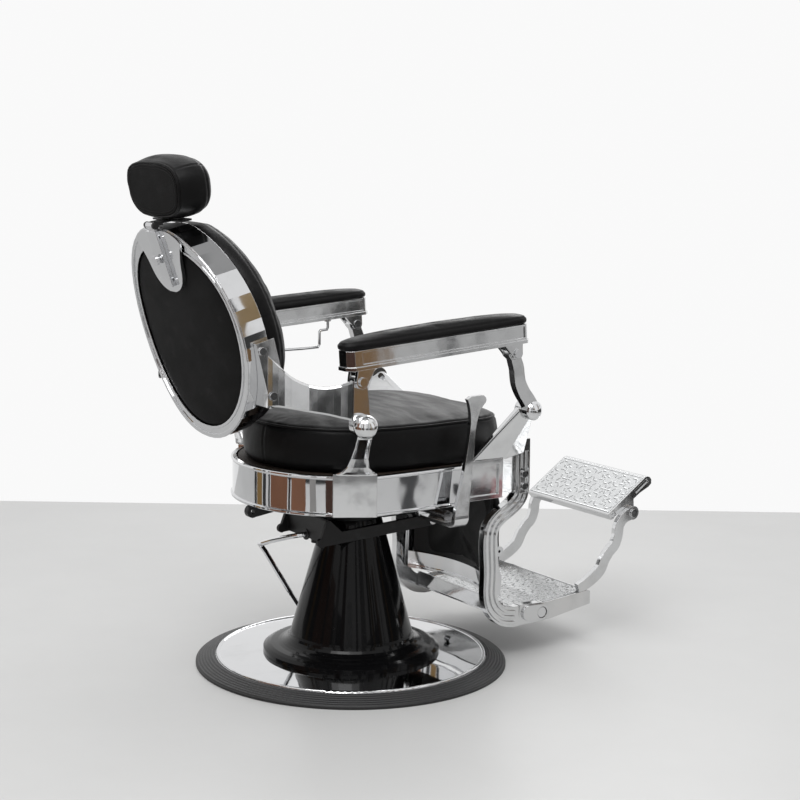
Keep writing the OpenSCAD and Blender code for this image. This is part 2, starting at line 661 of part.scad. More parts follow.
module calf_shell() {
  color("#c8cbce") difference() {
    union() {
      calf_arc(calf_r - 5, calf_r, 140, 178, calf_turn);
      calf_arc(calf_r - 9, calf_r - 2, 140, 146, calf_turn - 1);
      for (s = [0, 1]) mirror([s, 0, 0]) {
        side_plate(leg_x - 6.5, 6) {
          polygon([[calf_side + 5.2, 140], [-283, 140], [-286, 178], [-277, 205], [-275, 226], [-288, 238], [-262, 248], [-254, 226]]);
          eye([-278, 238], 11);
        }
      }
    }
    for (s = [0, 1]) mirror([s, 0, 0]) pin_x(leg_x - 20, leg_x + 10, [-278, 238], 3.2);
  }
}

module calf_panel() {
  color("#0c0c0d") calf_arc(calf_r + seat_gap, calf_r + 6, 152, ring_z - 2, asin((leg_x - 15.5) / calf_r));
}

module calf_pad() {
  z0 = 158;
  z1 = ring_z - 8;
  turn = asin((leg_x - 25) / calf_r);
  rows = [[0, 0], [6, 0.5], [14, 0.9], [30, 1], [z1 - z0 - 30, 1], [z1 - z0 - 14, 0.9], [z1 - z0 - 6, 0.5], [z1 - z0, 0]];
  color("#151516") loft([for (r = rows) let (inner = calf_r + 6 + 1.5 * seat_gap, outer = inner + 10 + 16 * r[1], n = 12)
    concat([for (i = [0 : n]) let (f = -90 + (turn - 0.4) * (2 * i / n - 1), e = outer - 9 * pow(abs(2 * i / n - 1), 6))
             [e * cos(f), calf_c + e * sin(f), z0 + r[0]]],
           [for (i = [n : -1 : 0]) let (f = -90 + turn * (2 * i / n - 1)) [inner * cos(f), calf_c + inner * sin(f), z0 + r[0]]])]);
}

module foot_pins() {
  color("#d9dcdf") for (s = [0, 1]) mirror([s, 0, 0]) {
    pin_x(leg_x - 16, leg_x + leg_t - 2.9, foot_pivot, foot_pin_r);
    pin_x(leg_x + leg_t - 2.9, leg_x + leg_t + 4, foot_pivot, 11.5);
  }
}

// ---------- recline lever ----------

lever_path = [[-124, 606, 30], [-124, 598, 48], [-122, 586, 34], [-119, 566, 20], [-116, 540, 14], [-112, 500, 16],
              [-104, 440, 22], [-96, 392, 29], [-92, 366, 34], [-91, 350, 36]];
module recline_lever() {
  foot = [[lever_x - lever_t / 2, 360, lever_t], [lever_x - lever_t / 2, 350, lever_t], [lever_x + 1, 340.5, 8],
          [lever_x + 12, 337.5, 7], [lever_x + 60, 337.5, 7], [-134, 337.5, 7]];
  color("#c8cbce") difference() {
    union() {
      side_plate(lever_x - lever_t, lever_t) polygon(ribbon(curve(lever_path, 4)));
      translate([0, -74, 0]) rotate([90, 0, 0]) linear_extrude(34) polygon(ribbon(curve(foot, 3)));
      side_plate(-144, 12) {
        eye(shaft_at, shaft_r + 6);
        polygon([[-107, 334], [-75, 334], [shaft_at[0] + 10, shaft_at[1] - 10], [shaft_at[0] + 2, shaft_at[1] + 6], [-96, 350]]);
      }
    }
    pin_x(-170, -120, shaft_at, shaft_r);
  }
}

module lever_shaft() {
  color("#d9dcdf") {
    pin_x(-226, -44, shaft_at, shaft_r);
    pin_x(-236, -226, shaft_at, shaft_r + 3);
  }
}

// ---------- back ----------

// Outline of the rim, drawn in by d: full lower half, upper half a little wider and nearly flat on top
function back_outline(d, steps = 56) = [for (i = [0 : steps - 1])
  let (f = 360 * i / steps, up = sin(f) > 0, b = up ? back_up + 7 : back_down, n = up ? 1.9 : 2.11, v = spow(sin(f), 2 / n),
       h = v * (b - d), top = back_up - d)
  [(back_a - d) * (1 + 0.09 * v) * spow(cos(f), 2 / n), h > top ? top + 0.15 * (h - top) : h]];
function back_half(u) = back_a * (1 + 0.09 * u / back_down) * pow(1 - pow(abs(u) / back_down, 2.11), 1 / 2.11);
function panel_outline(d, steps = 56) = oval(back_a - 23.7 - d, back_down - 18.5 - d, 2.1, 0.09, steps, 6);
band_wall = 4;
arm_bolt_u = [-11, -101];
arm_bolt_w = -25;

module back_frame() {
  color("#c8cbce") difference() {
    union() {
      back_layer(-band_d, 0) difference() {
        polygon(back_outline(0));
        polygon(back_outline(band_wall));
      }
      back_layer(-band_d, -band_d + 5) difference() {
        polygon(back_outline(1));
        polygon(back_outline(14));
      }
      back_layer(-1, 2.5) difference() {
        polygon(back_outline(2));
        polygon(back_outline(9));
      }
      back_layer(-5, 0) difference() {
        polygon(back_outline(1));
        polygon(panel_outline(0));
      }
      back_layer(-1, 1.8) difference() {
        polygon(panel_outline(-5));
        polygon(panel_outline(0));
      }
    }
    for (s = [-1, 1], u = arm_bolt_u) back_plane() translate([s * 160, u, arm_bolt_w]) rotate([0, 90 * s, 0]) cylinder(h = 90, r = 5);
  }
}

module back_board() {
  color("#8c6b45") back_layer(-band_d + 5 + seat_gap, -band_d + 16) polygon(back_outline(9, 48));
}

module rear_panel() {
  color("#151516") back_layer(-6, -0.5) polygon(panel_outline(seat_gap));
}

module back_cushion() {
  rows = [[12, 0], [8, 3], [6, 9], [5, 18], [6, 27], [10, 36], [18, 45], [30, 52], [48, 58], [80, 63], [125, 65.4], [180, 66]];
  color("#151516") back_plane() loft([for (r = reversed(rows)) let (line = back_outline(r[0], 44))
    [for (i = [0 : 43]) let (p = line[(i + 11) % 44]) [p[0], p[1], bow(p[1]) - band_d - seat_gap - r[1] * back_cushion_d / 66]]]);
}

// Side arm of the back: bracket on the band, forward sweep, and the plate with the hip and armrest eyes
arm_sweep = [[225, 343, 716, 612], [228, 320, 694, 612], [240, 296, 670, 608], [257, 268, 655, 602], [272, 240, 651, 597],
             [284, 214, 655, 590], [289, 192, 662, 584]];
bracket_u = [-124, 6];
bracket_w = [-56, -16];
module back_arm(side) {
  x0 = arm_x - 18;
  t = 16.7;
  line = curve(arm_sweep, 2);
  color("#c8cbce") left_right(side) difference() {
    union() {
      side_plate(x0, t) {
        eye(hip, 20);
        eye(arm_rear, 15);
        polygon(strap(hip, 20, arm_rear, 15));
      }
      loft([for (i = [0 : len(line) - 1]) let (p = line[i], n = side_of(line, i), h = p[2] - p[3], b = min(4, h / 8), m = 5.5)
        [for (q = [[-m, b], [3 - m, 0], [m - 3, 0], [m, b], [m, h - b], [m - 3, h], [3 - m, h], [-m, h - b]])
          [p[0] + n[0] * q[0], p[1] + n[1] * q[0], p[3] + q[1]]]]);
      back_plane() translate([0, 0, bracket_w[0]]) linear_extrude(bracket_w[1] - bracket_w[0])
        polygon([[back_a + 12, bracket_u[0]], [back_a + 12, bracket_u[1]], [190, bracket_u[1]], [130, bracket_u[0] + 10], [160, bracket_u[0]]]);
    }
    pin_x(x0 - 30, x0 + 40, hip, pivot_r + run_gap);
    pin_x(x0 - 30, x0 + 40, arm_rear, arm_pin_r + run_gap);
    // room for the band and the cushion
    back_plane() translate([0, 0, -200]) linear_extrude(200) polygon(back_outline(-seat_gap));
    for (u = arm_bolt_u) back_plane() translate([150, u, arm_bolt_w]) rotate([0, 90, 0]) {
      cylinder(h = 100, r = 5);
      translate([0, 0, back_a - 138]) cylinder(h = 40, r = 8.5);
    }
  }
}

module arm_bolts() {
  color("#d9dcdf") for (s = [0, 1]) mirror([s, 0, 0]) back_plane() for (u = arm_bolt_u) let (x = back_half(u) - 7.5)
    translate([x, u, arm_bolt_w]) rotate([0, 90, 0]) {
      cylinder(h = back_a + 12.5 - x, r = 5);
      translate([0, 0, back_a + 12 + seat_gap - x]) cylinder(h = 5, r = 8);
    }
}

// ---------- headrest ----------

pocket_w = 8;
plate_screw_at = [[-29, 44], [29, 44], [-29, -44], [29, -44]];
module headrest_plate() {
  flank = concat([[44, 57], [60, 54], [80, 46], [96, 35]], curve([[92, 30], [84, 20], [69, -8], [61, -31], [50, -50], [32, -64], [12, -70.5]], 3));
  color("#c8cbce") difference() {
    union() {
      post_plane() translate([0, 0, -24]) linear_extrude(24) polygon(concat(flank, [for (p = reversed(flank)) [-p[0], p[1]]]));
      post_plane() translate([-post_w / 2 - 8, -56, -4]) cube([post_w + 16, 113, 4 + pocket_w]);
    }
    post_plane() translate([-post_w / 2 - 0.3, -53, -1.5]) cube([post_w + 0.6, 120, 6.6]);
    back_plane() translate([0, 0, -100]) linear_extrude(100 + seat_gap) square(600, center = true);
    back_plane() difference() {
      translate([0, 0, -1]) linear_extrude(40) square(600, center = true);
      back_roll(3 + seat_gap);
    }
    post_plane() for (p = plate_screw_at) translate([p[0], p[1], -30]) cylinder(h = 40, r = 2.5, $fn = 24);
    post_plane() cylinder(h = 20, r = 4 + run_gap);
  }
}

module plate_screws() {
  color("#d9dcdf") post_plane() for (p = plate_screw_at) translate([p[0], p[1], 0]) {
    translate([0, 0, -3]) cylinder(h = 3, r = 2.5, $fn = 24);
    cylinder(h = 2.4, r = 4.5, $fn = 24);
  }
}

module clamp_knob() {
  color("#d9dcdf") post_plane() {
    translate([0, 0, 5.1]) cylinder(h = 5, r = 4);
    translate([0, 0, pocket_w + 2 * seat_gap]) cylinder(h = 4, r = 7);
    translate([0, 0, pocket_w + 4]) cylinder(h = 6, r = 9.5);
  }
}

module headrest_post() {
  color("#8f9295") post_plane() difference() {
    union() {
      translate([-post_w / 2, -52, -1.2]) cube([post_w, tilt_pin_s + 52, 6]);
      translate([-post_w / 2, tilt_pin_s, 1.8]) rotate([0, 90, 0]) cylinder(h = post_w, r = 7);
    }
    translate([-40, tilt_pin_s, 1.8]) rotate([0, 90, 0]) cylinder(h = 80, r = 4 + run_gap);
  }
}

// Headrest frame: origin at the tilt pin, y back, z up along the headrest
module head_frame() {
  post_plane() translate([0, tilt_pin_s, 1.8]) rotate([-post_lean, 0, 0]) mirror([0, 0, 1]) rotate([-(90 - back_lean), 0, 0])
    rotate([-head_tilt, 0, 0]) children();
}

module headrest_bracket() {
  color("#1d1e20") head_frame() difference() {
    union() {
      for (s = [-1, 1]) translate([s * (post_w / 2 + 3.3) - 3, 0, 0]) {
        rotate([0, 90, 0]) cylinder(h = 6, r = 7);
        translate([0, -16, -1]) cube([6, 16, 6.7]);
      }
      translate([-post_w / 2 - 6.3, -62, 2.2]) cube([post_w + 12.6, 52, 3.5]);
      translate([-60, -58, 2.2]) cube([120, 24, 3.5]);
    }
    translate([-50, 0, 0]) rotate([0, 90, 0]) cylinder(h = 100, r = 4);
  }
}

module tilt_pin() {
  color("#1d1e20") head_frame() {
    translate([-post_w / 2 - 6.3, 0, 0]) rotate([0, 90, 0]) cylinder(h = post_w + 12.6, r = 4);
    for (s = [-1, 1]) translate([s * (post_w / 2 + 7.8) - 1.5, 0, 0]) rotate([0, 90, 0]) cylinder(h = 3, r = 6);
  }
}

module headrest_cushion() {
  // rings from the flat rear face to the crowned front: [draw-in, depth]
  rows = [[16, 0], [8, 1.5], [7, 6], [3, 16], [0, 34], [1, 52], [6, 66], [15, 76], [30, 83], [46, 87], [56, 88]];
  color("#151516") head_frame() translate([0, -14, 6 + head_h / 2]) rotate([90, 0, 0])
    loft([for (r = rows) [for (i = [0 : 35]) let (f = 360 * i / 36, v = spow(sin(f), 0.7))
      [(head_x - r[0]) * (1 + 0.05 * v) * spow(cos(f), 0.66), (head_h / 2 - min(r[0], 50)) * v, r[1] * head_d / 88]]]);
}

// ---------- armrests ----------

module arm_frame() {
  translate([0, rail_rear[0], rail_rear[1]]) rotate([-rail_rise, 0, 0]) children();
}

module armrest_rail(side) {
  c = 12;
  color("#c8cbce") left_right(side) difference() {
    union() {
      arm_frame() translate([arm_x, 0, 0]) difference() {
        union() {
          linear_extrude(rail_h) polygon([[-rail_w / 2 + c, 0], [rail_w / 2 - c, 0], [rail_w / 2, -c], [rail_w / 2, -rail_len + 8],
            [rail_w / 2 - 8, -rail_len], [-rail_w / 2 + 8, -rail_len], [-rail_w / 2, -rail_len + 8], [-rail_w / 2, -c]]);
          linear_extrude(7) polygon([[-rail_w / 2 + c, 3], [rail_w / 2 - c, 3], [rail_w / 2 + 3, -c], [rail_w / 2 + 3, -rail_len + 8],
            [rail_w / 2 - 8, -rail_len - 3], [-rail_w / 2 + 8, -rail_len - 3], [-rail_w / 2 - 3, -rail_len + 8],
            [-rail_w / 2 - 3, -c]]);
        }
        for (s = [-1, 1]) translate([s * rail_w / 2 - 2.5, -rail_len + 12, 11]) cube([5, rail_len - 42, rail_h - 15]);
      }
      for (x = [arm_x - 26.2, arm_x - 0.7]) side_plate(x, 8) {
        eye(arm_rear, 14);
        polygon([arm_rear + [14, 2], arm_rear + [10, 30], arm_rear + [-34, 33], arm_rear + [-9, -9]]);
      }
      for (x = [arm_x - 17.5, arm_x + 9.5]) side_plate(x, 8) {
        eye(arm_front, 13);
        polygon([arm_front + [9, -8], arm_front + [34, 19], arm_front + [-12, 22], arm_front + [-13, 0]]);
      }
    }
    pin_x(arm_x - 40, arm_x + 40, arm_rear, arm_pin_r);
    pin_x(arm_x - 40, arm_x + 40, arm_front, arm_pin_r);
  }
}

module arm_pin(x0, x1, at) {
  pin_x(x0, x1, at, arm_pin_r);
  pin_x(x1, x1 + 4, at, 9);
  pin_x(x0 - 2, x0, at, 9);
}

module arm_pins(side) {
  color("#d9dcdf") left_right(side) {
    arm_pin(arm_x - 26.2 - seat_gap, arm_x + 7.3 + seat_gap, arm_rear);
    arm_pin(arm_x - 17.5 - seat_gap, arm_x + 17.5 + seat_gap, arm_front);
  }
}

function pad_outline(d, n) = let (r = pad_w / 2, l = rail_len + 12) [for (i = [0 : n - 1]) let (f = 360 * i / n)
  [(r - d) * spow(cos(f), 0.75), -l / 2 + 6 + (l / 2 - d) * spow(sin(f), 0.2)]];
module arm_pad(side) {
  rows = [[5, 0], [1.5, 2], [0, 7], [0.5, 12], [3, 16], [8, 20.5], [15, 24.4], [22, 26.4], [27, 27]];
  color("#151516") left_right(side) arm_frame() translate([arm_x, 0, rail_h + seat_gap])
    loft([for (r = rows) [for (p = pad_outline(r[0], 40)) let (t = (p[1] + rail_len / 2) / rail_len)
      [p[0], p[1], r[1] * pad_h / 27 * (1 - 0.28 * 4 * t * t * (r[1] > 8 ? 1 : 0) * (r[1] - 8) / 19)]]]);
}

module towel_bar() {
  x = arm_x - 16;
  path = [[x, -110, 706], [x, -110, 690], [x, -108, 685], [x, -92, 684], [x, -88, 680], [x, -88, 652], [x, -84, 646],
          [x, -40, 645], [x, 40, 645], [x, 88, 645], [x, 94, 650], [x, 96, 660], [x, 96, 690]];
  color("#d9dcdf") {
    rod_along(path, 3.5, 10);
    for (e = [[-110, 704.1], [96, 688.7]]) translate([x, e[0], e[1]]) rotate([-rail_rise, 0, 0]) cylinder(h = 4, r = 8);
  }
}

module front_link(side) {
  path = [[-191, 691, 24], [-196, 676, 25], [-201, 662, 26], [-203, 648, 26], [-207, 630, 27], [-217, 611, 28], [-230, 594, 29],
          [-242, 575, 31]];
  color("#c8cbce") left_right(side) difference() {
    union() {
      pin_x(arm_x - 9, arm_x + 9, arm_front, 16);
      side_plate(arm_x - 9, 18) polygon(ribbon(curve(path, 4)));
      pin_x(arm_x - 9, arm_x + 9, link_foot, 20);
    }
    pin_x(arm_x - 40, arm_x + 40, arm_front, arm_pin_r + open_gap);
    pin_x(arm_x - 40, arm_x + 40, link_foot, pivot_r + run_gap);
  }
}

// ---------- footrest ----------

foot_top = [[-290, 104], [-420, 106], [-535, 116]];
module foot_plate() {
  color("#c8cbce") difference() {
    union() {
      side_plate(-foot_x, 2 * foot_x) polygon([[-284, 126], [-290, 124], [-294, 106], [-420, 106], [-534, 116], [-540, 112],
        [-540, 84], [-425, 66], [-362, 66], [-300, 84], [-284, 90]]);
    }
    side_plate(-foot_x + wall_t, 2 * (foot_x - wall_t)) polygon([[-284 - wall_t, 30], [-284 - wall_t, 100], [-420, 101],
      [-534, 111], [-540 + wall_t, 108], [-540 + wall_t, 30]]);
    side_plate(-foot_x + wall_t, 2 * (foot_x - wall_t)) polygon([[-270, 128], [-288, 122], [-288, 92], [-270, 86]]);
    pin_x(-leg_x - 20, leg_x + 20, foot_pivot, foot_pin_r + run_gap);
  }
}

arm_in = step_x + 0.5;
module foot_arms() {
  path = [[-506, 122, 22], [-528, 130, 25], [-552, 143, 27], [-571, 158, 27], [-583, 180, 26], [-598, 198, 25], [-612, 210, 25],
          [-620, 230, 25], [-623, 252, 25], [-634, 268, 25], [-650, 276, 28], [-660, 279, 30]];
  color("#c8cbce") for (s = [0, 1]) mirror([s, 0, 0]) difference() {
    side_plate(arm_in, 11) {
      difference() {
        polygon(ribbon(curve(path, 4)));
        polygon([[-420, 90], [-420, 106.3], [-534, 116.3], [-545, 112], [-545, 90]]);
      }
      eye(step_pivot, 16);
    }
    pin_x(100, 200, step_pivot, arm_pin_r);
  }
}

module step_pins() {
  color("#d9dcdf") for (s = [0, 1]) mirror([s, 0, 0]) {
    pin_x(step_x - 10, arm_in + 11 + seat_gap, step_pivot, arm_pin_r);
    pin_x(arm_in + 11 + seat_gap, arm_in + 15, step_pivot, 9.5);
  }
}

module step_plate() {
  q = [cos(step_rise), sin(step_rise)];
  n = [-sin(step_rise), -cos(step_rise)];
  d = [-q[0], q[1]];
  down = [-q[1], -q[0]];
  function at(s, h) = step_rear + d * s - [q[1], q[0]] * -h;
  outer = [at(0, -3), at(2, 0), at(step_d, 0), at(step_d + 6, -3), at(step_d + 10, -9), at(step_d + 10, -17), at(step_d + 5, -24),
           at(step_d - 6, -25), at(step_d - 34, -step_t), at(2, -step_t + 2)];
  inner = [at(5, -wall_t), at(step_d + 1, -wall_t), at(step_d + 5, -12), at(step_d + 1, -19), at(step_d - 8, -20),
           at(step_d - 36, -40), at(5, -step_t - 20)];
  color("#c8cbce") difference() {
    union() {
      side_plate(-step_x, 2 * step_x) polygon(outer);
      for (s = [0, 1]) mirror([s, 0, 0]) side_plate(step_x - 10, 10) {
        eye(step_pivot, 13);
        polygon([step_pivot + [12, 4], at(28, -8), at(86, -8), step_pivot + [-12, -4]]);
      }
    }
    difference() {
      side_plate(-step_x + wall_t, 2 * (step_x - wall_t)) polygon(inner);
      for (s = [0, 1]) mirror([s, 0, 0]) side_plate(step_x - 10, 10) polygon([step_pivot + [12, 4], at(28, 0), at(86, 0), step_pivot + [-12, -4]]);
    }
    for (s = [0, 1]) mirror([s, 0, 0]) side_plate(step_x - 2.5, 5)
      polygon([at(8, -5), at(20, -5), at(20, -13), at(8, -13)]);
    for (s = [0, 1]) mirror([s, 0, 0]) side_plate(step_x - 2.5, 5)
      polygon([at(92, -5), at(step_d, -5), at(step_d, -14), at(92, -14)]);
    pin_x(-200, 200, step_pivot, arm_pin_r + run_gap);
  }
}

base_ring();
base_plate();
column_cover();
pump_cylinder();
cylinder_bolts();
pump_head();
fork_pin();
pedal_fork();
pedal_rod();
pedal_sleeve();
pump_plunger();
lift_ram();
swivel_nut();
seat_bracket();
seat_ring();
seat_board();
seat_cushion();
rear_post(-1);  // rear_post_right
rear_post(1);  // rear_post_left
hip_pins();
front_casting(-1);  // front_casting_right
front_casting(1);  // front_casting_left
front_apron();
link_pins();
leg_casting(-1);  // leg_casting_right
leg_casting(1);  // leg_casting_left
leg_bolts();
calf_shell();
calf_panel();
calf_pad();
foot_pins();
recline_lever();
lever_shaft();
back_frame();
back_board();
rear_panel();
back_cushion();
back_arm(-1);  // back_arm_right
back_arm(1);  // back_arm_left
arm_bolts();
headrest_plate();
plate_screws();
clamp_knob();
headrest_post();
headrest_bracket();
tilt_pin();
headrest_cushion();
armrest_rail(-1);  // armrest_rail_right
armrest_rail(1);  // armrest_rail_left
arm_pad(-1);  // arm_pad_right
arm_pad(1);  // arm_pad_left
arm_pins(-1);  // arm_pins_right
arm_pins(1);  // arm_pins_left
towel_bar();
front_link(-1);  // front_link_right
front_link(1);  // front_link_left
foot_plate();
foot_arms();
step_pins();
step_plate();
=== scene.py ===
"""Finishes, upholstery and relief for a hydraulic barber chair, laid out as a Blender add-on and run as a script."""

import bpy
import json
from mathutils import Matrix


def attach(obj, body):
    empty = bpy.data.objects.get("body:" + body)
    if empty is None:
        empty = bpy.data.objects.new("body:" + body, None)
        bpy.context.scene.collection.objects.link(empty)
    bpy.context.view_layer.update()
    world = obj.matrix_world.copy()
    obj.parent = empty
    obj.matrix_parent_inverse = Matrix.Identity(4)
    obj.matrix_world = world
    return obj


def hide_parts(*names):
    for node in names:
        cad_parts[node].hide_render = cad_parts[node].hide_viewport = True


bl_info = {
    "name": "Barber chair finishes",
    "version": (1, 0, 0),
    "blender": (4, 5, 0),
    "location": "View3D > Sidebar > Chair",
    "description": "Upholstery, relief plates, finishes and studio for the barber chair frame",
    "category": "Object",
}

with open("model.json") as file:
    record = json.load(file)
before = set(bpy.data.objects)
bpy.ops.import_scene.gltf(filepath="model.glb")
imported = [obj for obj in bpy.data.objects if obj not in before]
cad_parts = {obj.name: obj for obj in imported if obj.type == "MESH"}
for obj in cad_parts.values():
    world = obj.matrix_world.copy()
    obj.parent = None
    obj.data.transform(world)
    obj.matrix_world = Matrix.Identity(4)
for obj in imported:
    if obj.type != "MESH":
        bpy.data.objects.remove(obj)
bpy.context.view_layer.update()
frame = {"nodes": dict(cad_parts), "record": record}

import json
import math

import bpy
import numpy as np
from bpy.props import FloatProperty, FloatVectorProperty, PointerProperty
from mathutils import Matrix, Vector
from mathutils.bvhtree import BVHTree

NODES = frame["nodes"]
NODE_SLOT = {part["node"]: part["material_slot"] for part in frame["record"]["subparts"]}


# ---------- sizes and colours that a user may change ----------


def length(name, words, default, low, high):
    """A length property in metres."""
    return FloatProperty(name=name, description=words, default=default, min=low, max=high, precision=4,
                         subtype="DISTANCE", unit="LENGTH")


def colour(name, words, default):
    """A colour property."""
    return FloatVectorProperty(name=name, description=words, default=default, size=3, min=0, max=1, subtype="COLOR")


class ChairSizes(bpy.types.PropertyGroup):
    """Sizes of the upholstery, seams and relief."""

    seat_swell: length("Seat swell", "Furthest that the filling pushes the seat cover out", 0.005, 0, 0.012)
    back_swell: length("Back swell", "Furthest that the filling pushes the back cover out", 0.005, 0, 0.012)
    head_swell: length("Headrest swell", "Furthest that the filling pushes the headrest cover out", 0.003, 0, 0.008)
    pad_swell: length("Pad swell", "Furthest that the filling pushes an arm or calf pad out", 0.0025, 0, 0.006)
    voxel: length("Cover mesh", "Size of the even mesh that a cover is simulated on", 0.0065, 0.004, 0.012)
    welt: length("Welt radius", "Radius of the piped cord round the seat and headrest", 0.0026, 0.001, 0.005)
    stitch: length("Stitch pitch", "Distance from one stitch to the next", 0.0046, 0.003, 0.008)
    relief: length("Relief height", "Height of the raised pattern on the foot plates", 0.0010, 0.0005, 0.003)
    relief_step: length("Relief grid", "Grid step of the raised pattern", 0.0009, 0.0008, 0.003)


class ChairColours(bpy.types.PropertyGroup):
    """Base colours of the finishes."""

    leather: colour("Leather", "Black coated upholstery", (0.0046, 0.0045, 0.0047))
    chrome: colour("Chrome", "Polished chrome plate", (0.72, 0.725, 0.735))
    casting: colour("Casting", "Polished and plated castings", (0.71, 0.715, 0.72))
    relief: colour("Relief plate", "Satin plated foot plates", (0.68, 0.69, 0.695))
    steel: colour("Bright steel", "Machined steel", (0.60, 0.60, 0.61))
    paint: colour("Black paint", "Gloss black enamel", (0.0035, 0.0035, 0.0038))
    dark_steel: colour("Black steel", "Black powder coat", (0.009, 0.009, 0.0095))
    iron: colour("Grey iron", "Grey painted iron", (0.18, 0.19, 0.20))
    rubber: colour("Rubber", "Black moulded rubber", (0.020, 0.020, 0.021))
    floor: colour("Floor", "Pale studio floor", (0.56, 0.56, 0.552))


# ---------- shader maths as expressions ----------


class Value:
    """A socket that can be used in expressions: each operation adds its Math node."""

    def __init__(self, finish, socket):
        self.finish, self.socket = finish, socket

    def _op(self, kind, *inputs):
        return Value(self.finish, self.finish.node("ShaderNodeMath", {"operation": kind}, *inputs).outputs[0])

    def __add__(self, other): return self._op("ADD", self, other)
    def __radd__(self, other): return self._op("ADD", other, self)
    def __sub__(self, other): return self._op("SUBTRACT", self, other)
    def __rsub__(self, other): return self._op("SUBTRACT", other, self)
    def __mul__(self, other): return self._op("MULTIPLY", self, other)
    def __rmul__(self, other): return self._op("MULTIPLY", other, self)
    def __pow__(self, other): return self._op("POWER", self, other)

    def sine(self): return self._op("SINE", self)

    def step(self, low, high):
        """0 below low, 1 above high, smooth between."""
        node = self.finish.node("ShaderNodeMapRange", {"interpolation_type": "SMOOTHSTEP"}, self, low, high)
        return Value(self.finish, node.outputs[0])


class Finish:
    """A material built from nodes: constants on the shader's own sockets, varying values as expressions."""

    def __init__(self, name, **constants):
        self.material = bpy.data.materials.new(name)
        self.material.use_nodes = True
        self.tree = self.material.node_tree
        self.tree.nodes.clear()
        self.out = self.tree.nodes.new("ShaderNodeOutputMaterial")
        self.shader = self.tree.nodes.new("ShaderNodeBsdfPrincipled")
        self.tree.links.new(self.shader.outputs[0], self.out.inputs[0])
        for socket, value in constants.items():
            self.shader.inputs[socket.replace("_", " ")].default_value = value
        self.point = self.node("ShaderNodeTexCoord", {}).outputs["Object"]

    def node(self, kind, settings, *inputs, **named):
        """A node of a type: settings first, then its sockets' values or links, in order or by name."""
        node = self.tree.nodes.new(kind)
        for key, value in settings.items():
            setattr(node, key, value)
        pairs = list(zip(node.inputs, inputs)) + [(node.inputs[k.replace("_", " ")], v) for k, v in named.items()]
        for socket, value in pairs:
            value = value.socket if isinstance(value, Value) else value
            if isinstance(value, bpy.types.NodeSocket):
                self.tree.links.new(value, socket)
            elif value is not None:
                socket.default_value = value
        return node

    def noise(self, scale, detail=2.0, rough=0.5, at=None):
        """Noise at a scale per metre, about 0.5."""
        node = self.node("ShaderNodeTexNoise", {}, Vector=at or self.point, Scale=scale, Detail=detail, Roughness=rough)
        return Value(self, node.outputs[0])

    def cells(self, scale):
        """Distance to the nearest cell point, with cells at a scale per metre."""
        node = self.node("ShaderNodeTexVoronoi", {}, Vector=self.point, Scale=scale)
        return Value(self, node.outputs["Distance"])

    def stretched(self, scale):
        """The point stretched by a factor along each axis."""
        return self.node("ShaderNodeMapping", {}, Vector=self.point, Scale=scale).outputs[0]

    def split(self):
        """The point's x, y and z."""
        node = self.node("ShaderNodeSeparateXYZ", {}, self.point)
        return [Value(self, out) for out in node.outputs]

    def blend(self, factor, a, b):
        """Colour a where factor is 0, b where it is 1."""
        node = self.node("ShaderNodeMix", {"data_type": "RGBA"})
        self.tree.links.new(factor.socket, node.inputs[0])
        for socket, rgb in ((node.inputs[6], a), (node.inputs[7], b)):
            if isinstance(rgb, bpy.types.NodeSocket):
                self.tree.links.new(rgb, socket)
            else:
                socket.default_value = (*rgb, 1)
        return node.outputs[2]

    def hollows(self, reach):
        """1 in creases and under overhanging edges closer than a reach, 0 in the open: an ambient occlusion mask used
        for painted shade.
        """
        node = self.node("ShaderNodeAmbientOcclusion", {"samples": 5}, Distance=reach)
        return (1 - Value(self, node.outputs["AO"])).step(0.42, 0.85)

    def feed(self, socket, value):
        """Links a varying value or colour to one of the shader's sockets."""
        self.tree.links.new(value.socket if isinstance(value, Value) else value, self.shader.inputs[socket])

    def bump(self, height, distance, edge=0.0):
        """Bumps the surface by height, 0 to 1, over a distance in metres, on edges rounded by a radius."""
        normal = self.node("ShaderNodeBevel", {"samples": 4}, Radius=edge).outputs[0] if edge else None
        bump = self.node("ShaderNodeBump", {}, Strength=1.0, Distance=distance, Height=height, Normal=normal)
        self.feed("Normal", bump.outputs[0])


def tint(rgb, factor):
    """A colour made lighter or darker."""
    return tuple(min(1.0, c * factor) for c in rgb)


def leather(name, rgb, rough, grain, gloss, streak=0.16):
    """Coated upholstery: fine pebble grain, faint stretch streaks and slow changes of sheen."""
    f = Finish(name, IOR=1.5, Specular_IOR_Level=gloss)
    pebbles = f.cells(1300.0)
    creases = f.noise(260.0, 3.0, 0.6)
    streaks = f.noise(9.0, 3.0, 0.55, f.stretched((1.0, 3.2, 1.4)))
    wear = f.noise(30.0, 3.0, 0.6).step(0.52, 0.72)
    f.feed("Base Color", f.blend(wear, rgb, tint(rgb, 1.5)))
    f.feed("Roughness", rough - 0.3 * streak + streak * streaks.step(0.3, 0.7) - 0.04 * wear)
    f.bump(pebbles.step(0.1, 0.75) * 0.6 + creases * 0.4, grain)
    return f.material


# painted shade: how far the hollows mask darkens chrome and casting colour, and the reach it looks within
HOLLOW_REACH, HOLLOW_SHADE = 0.005, 0.8


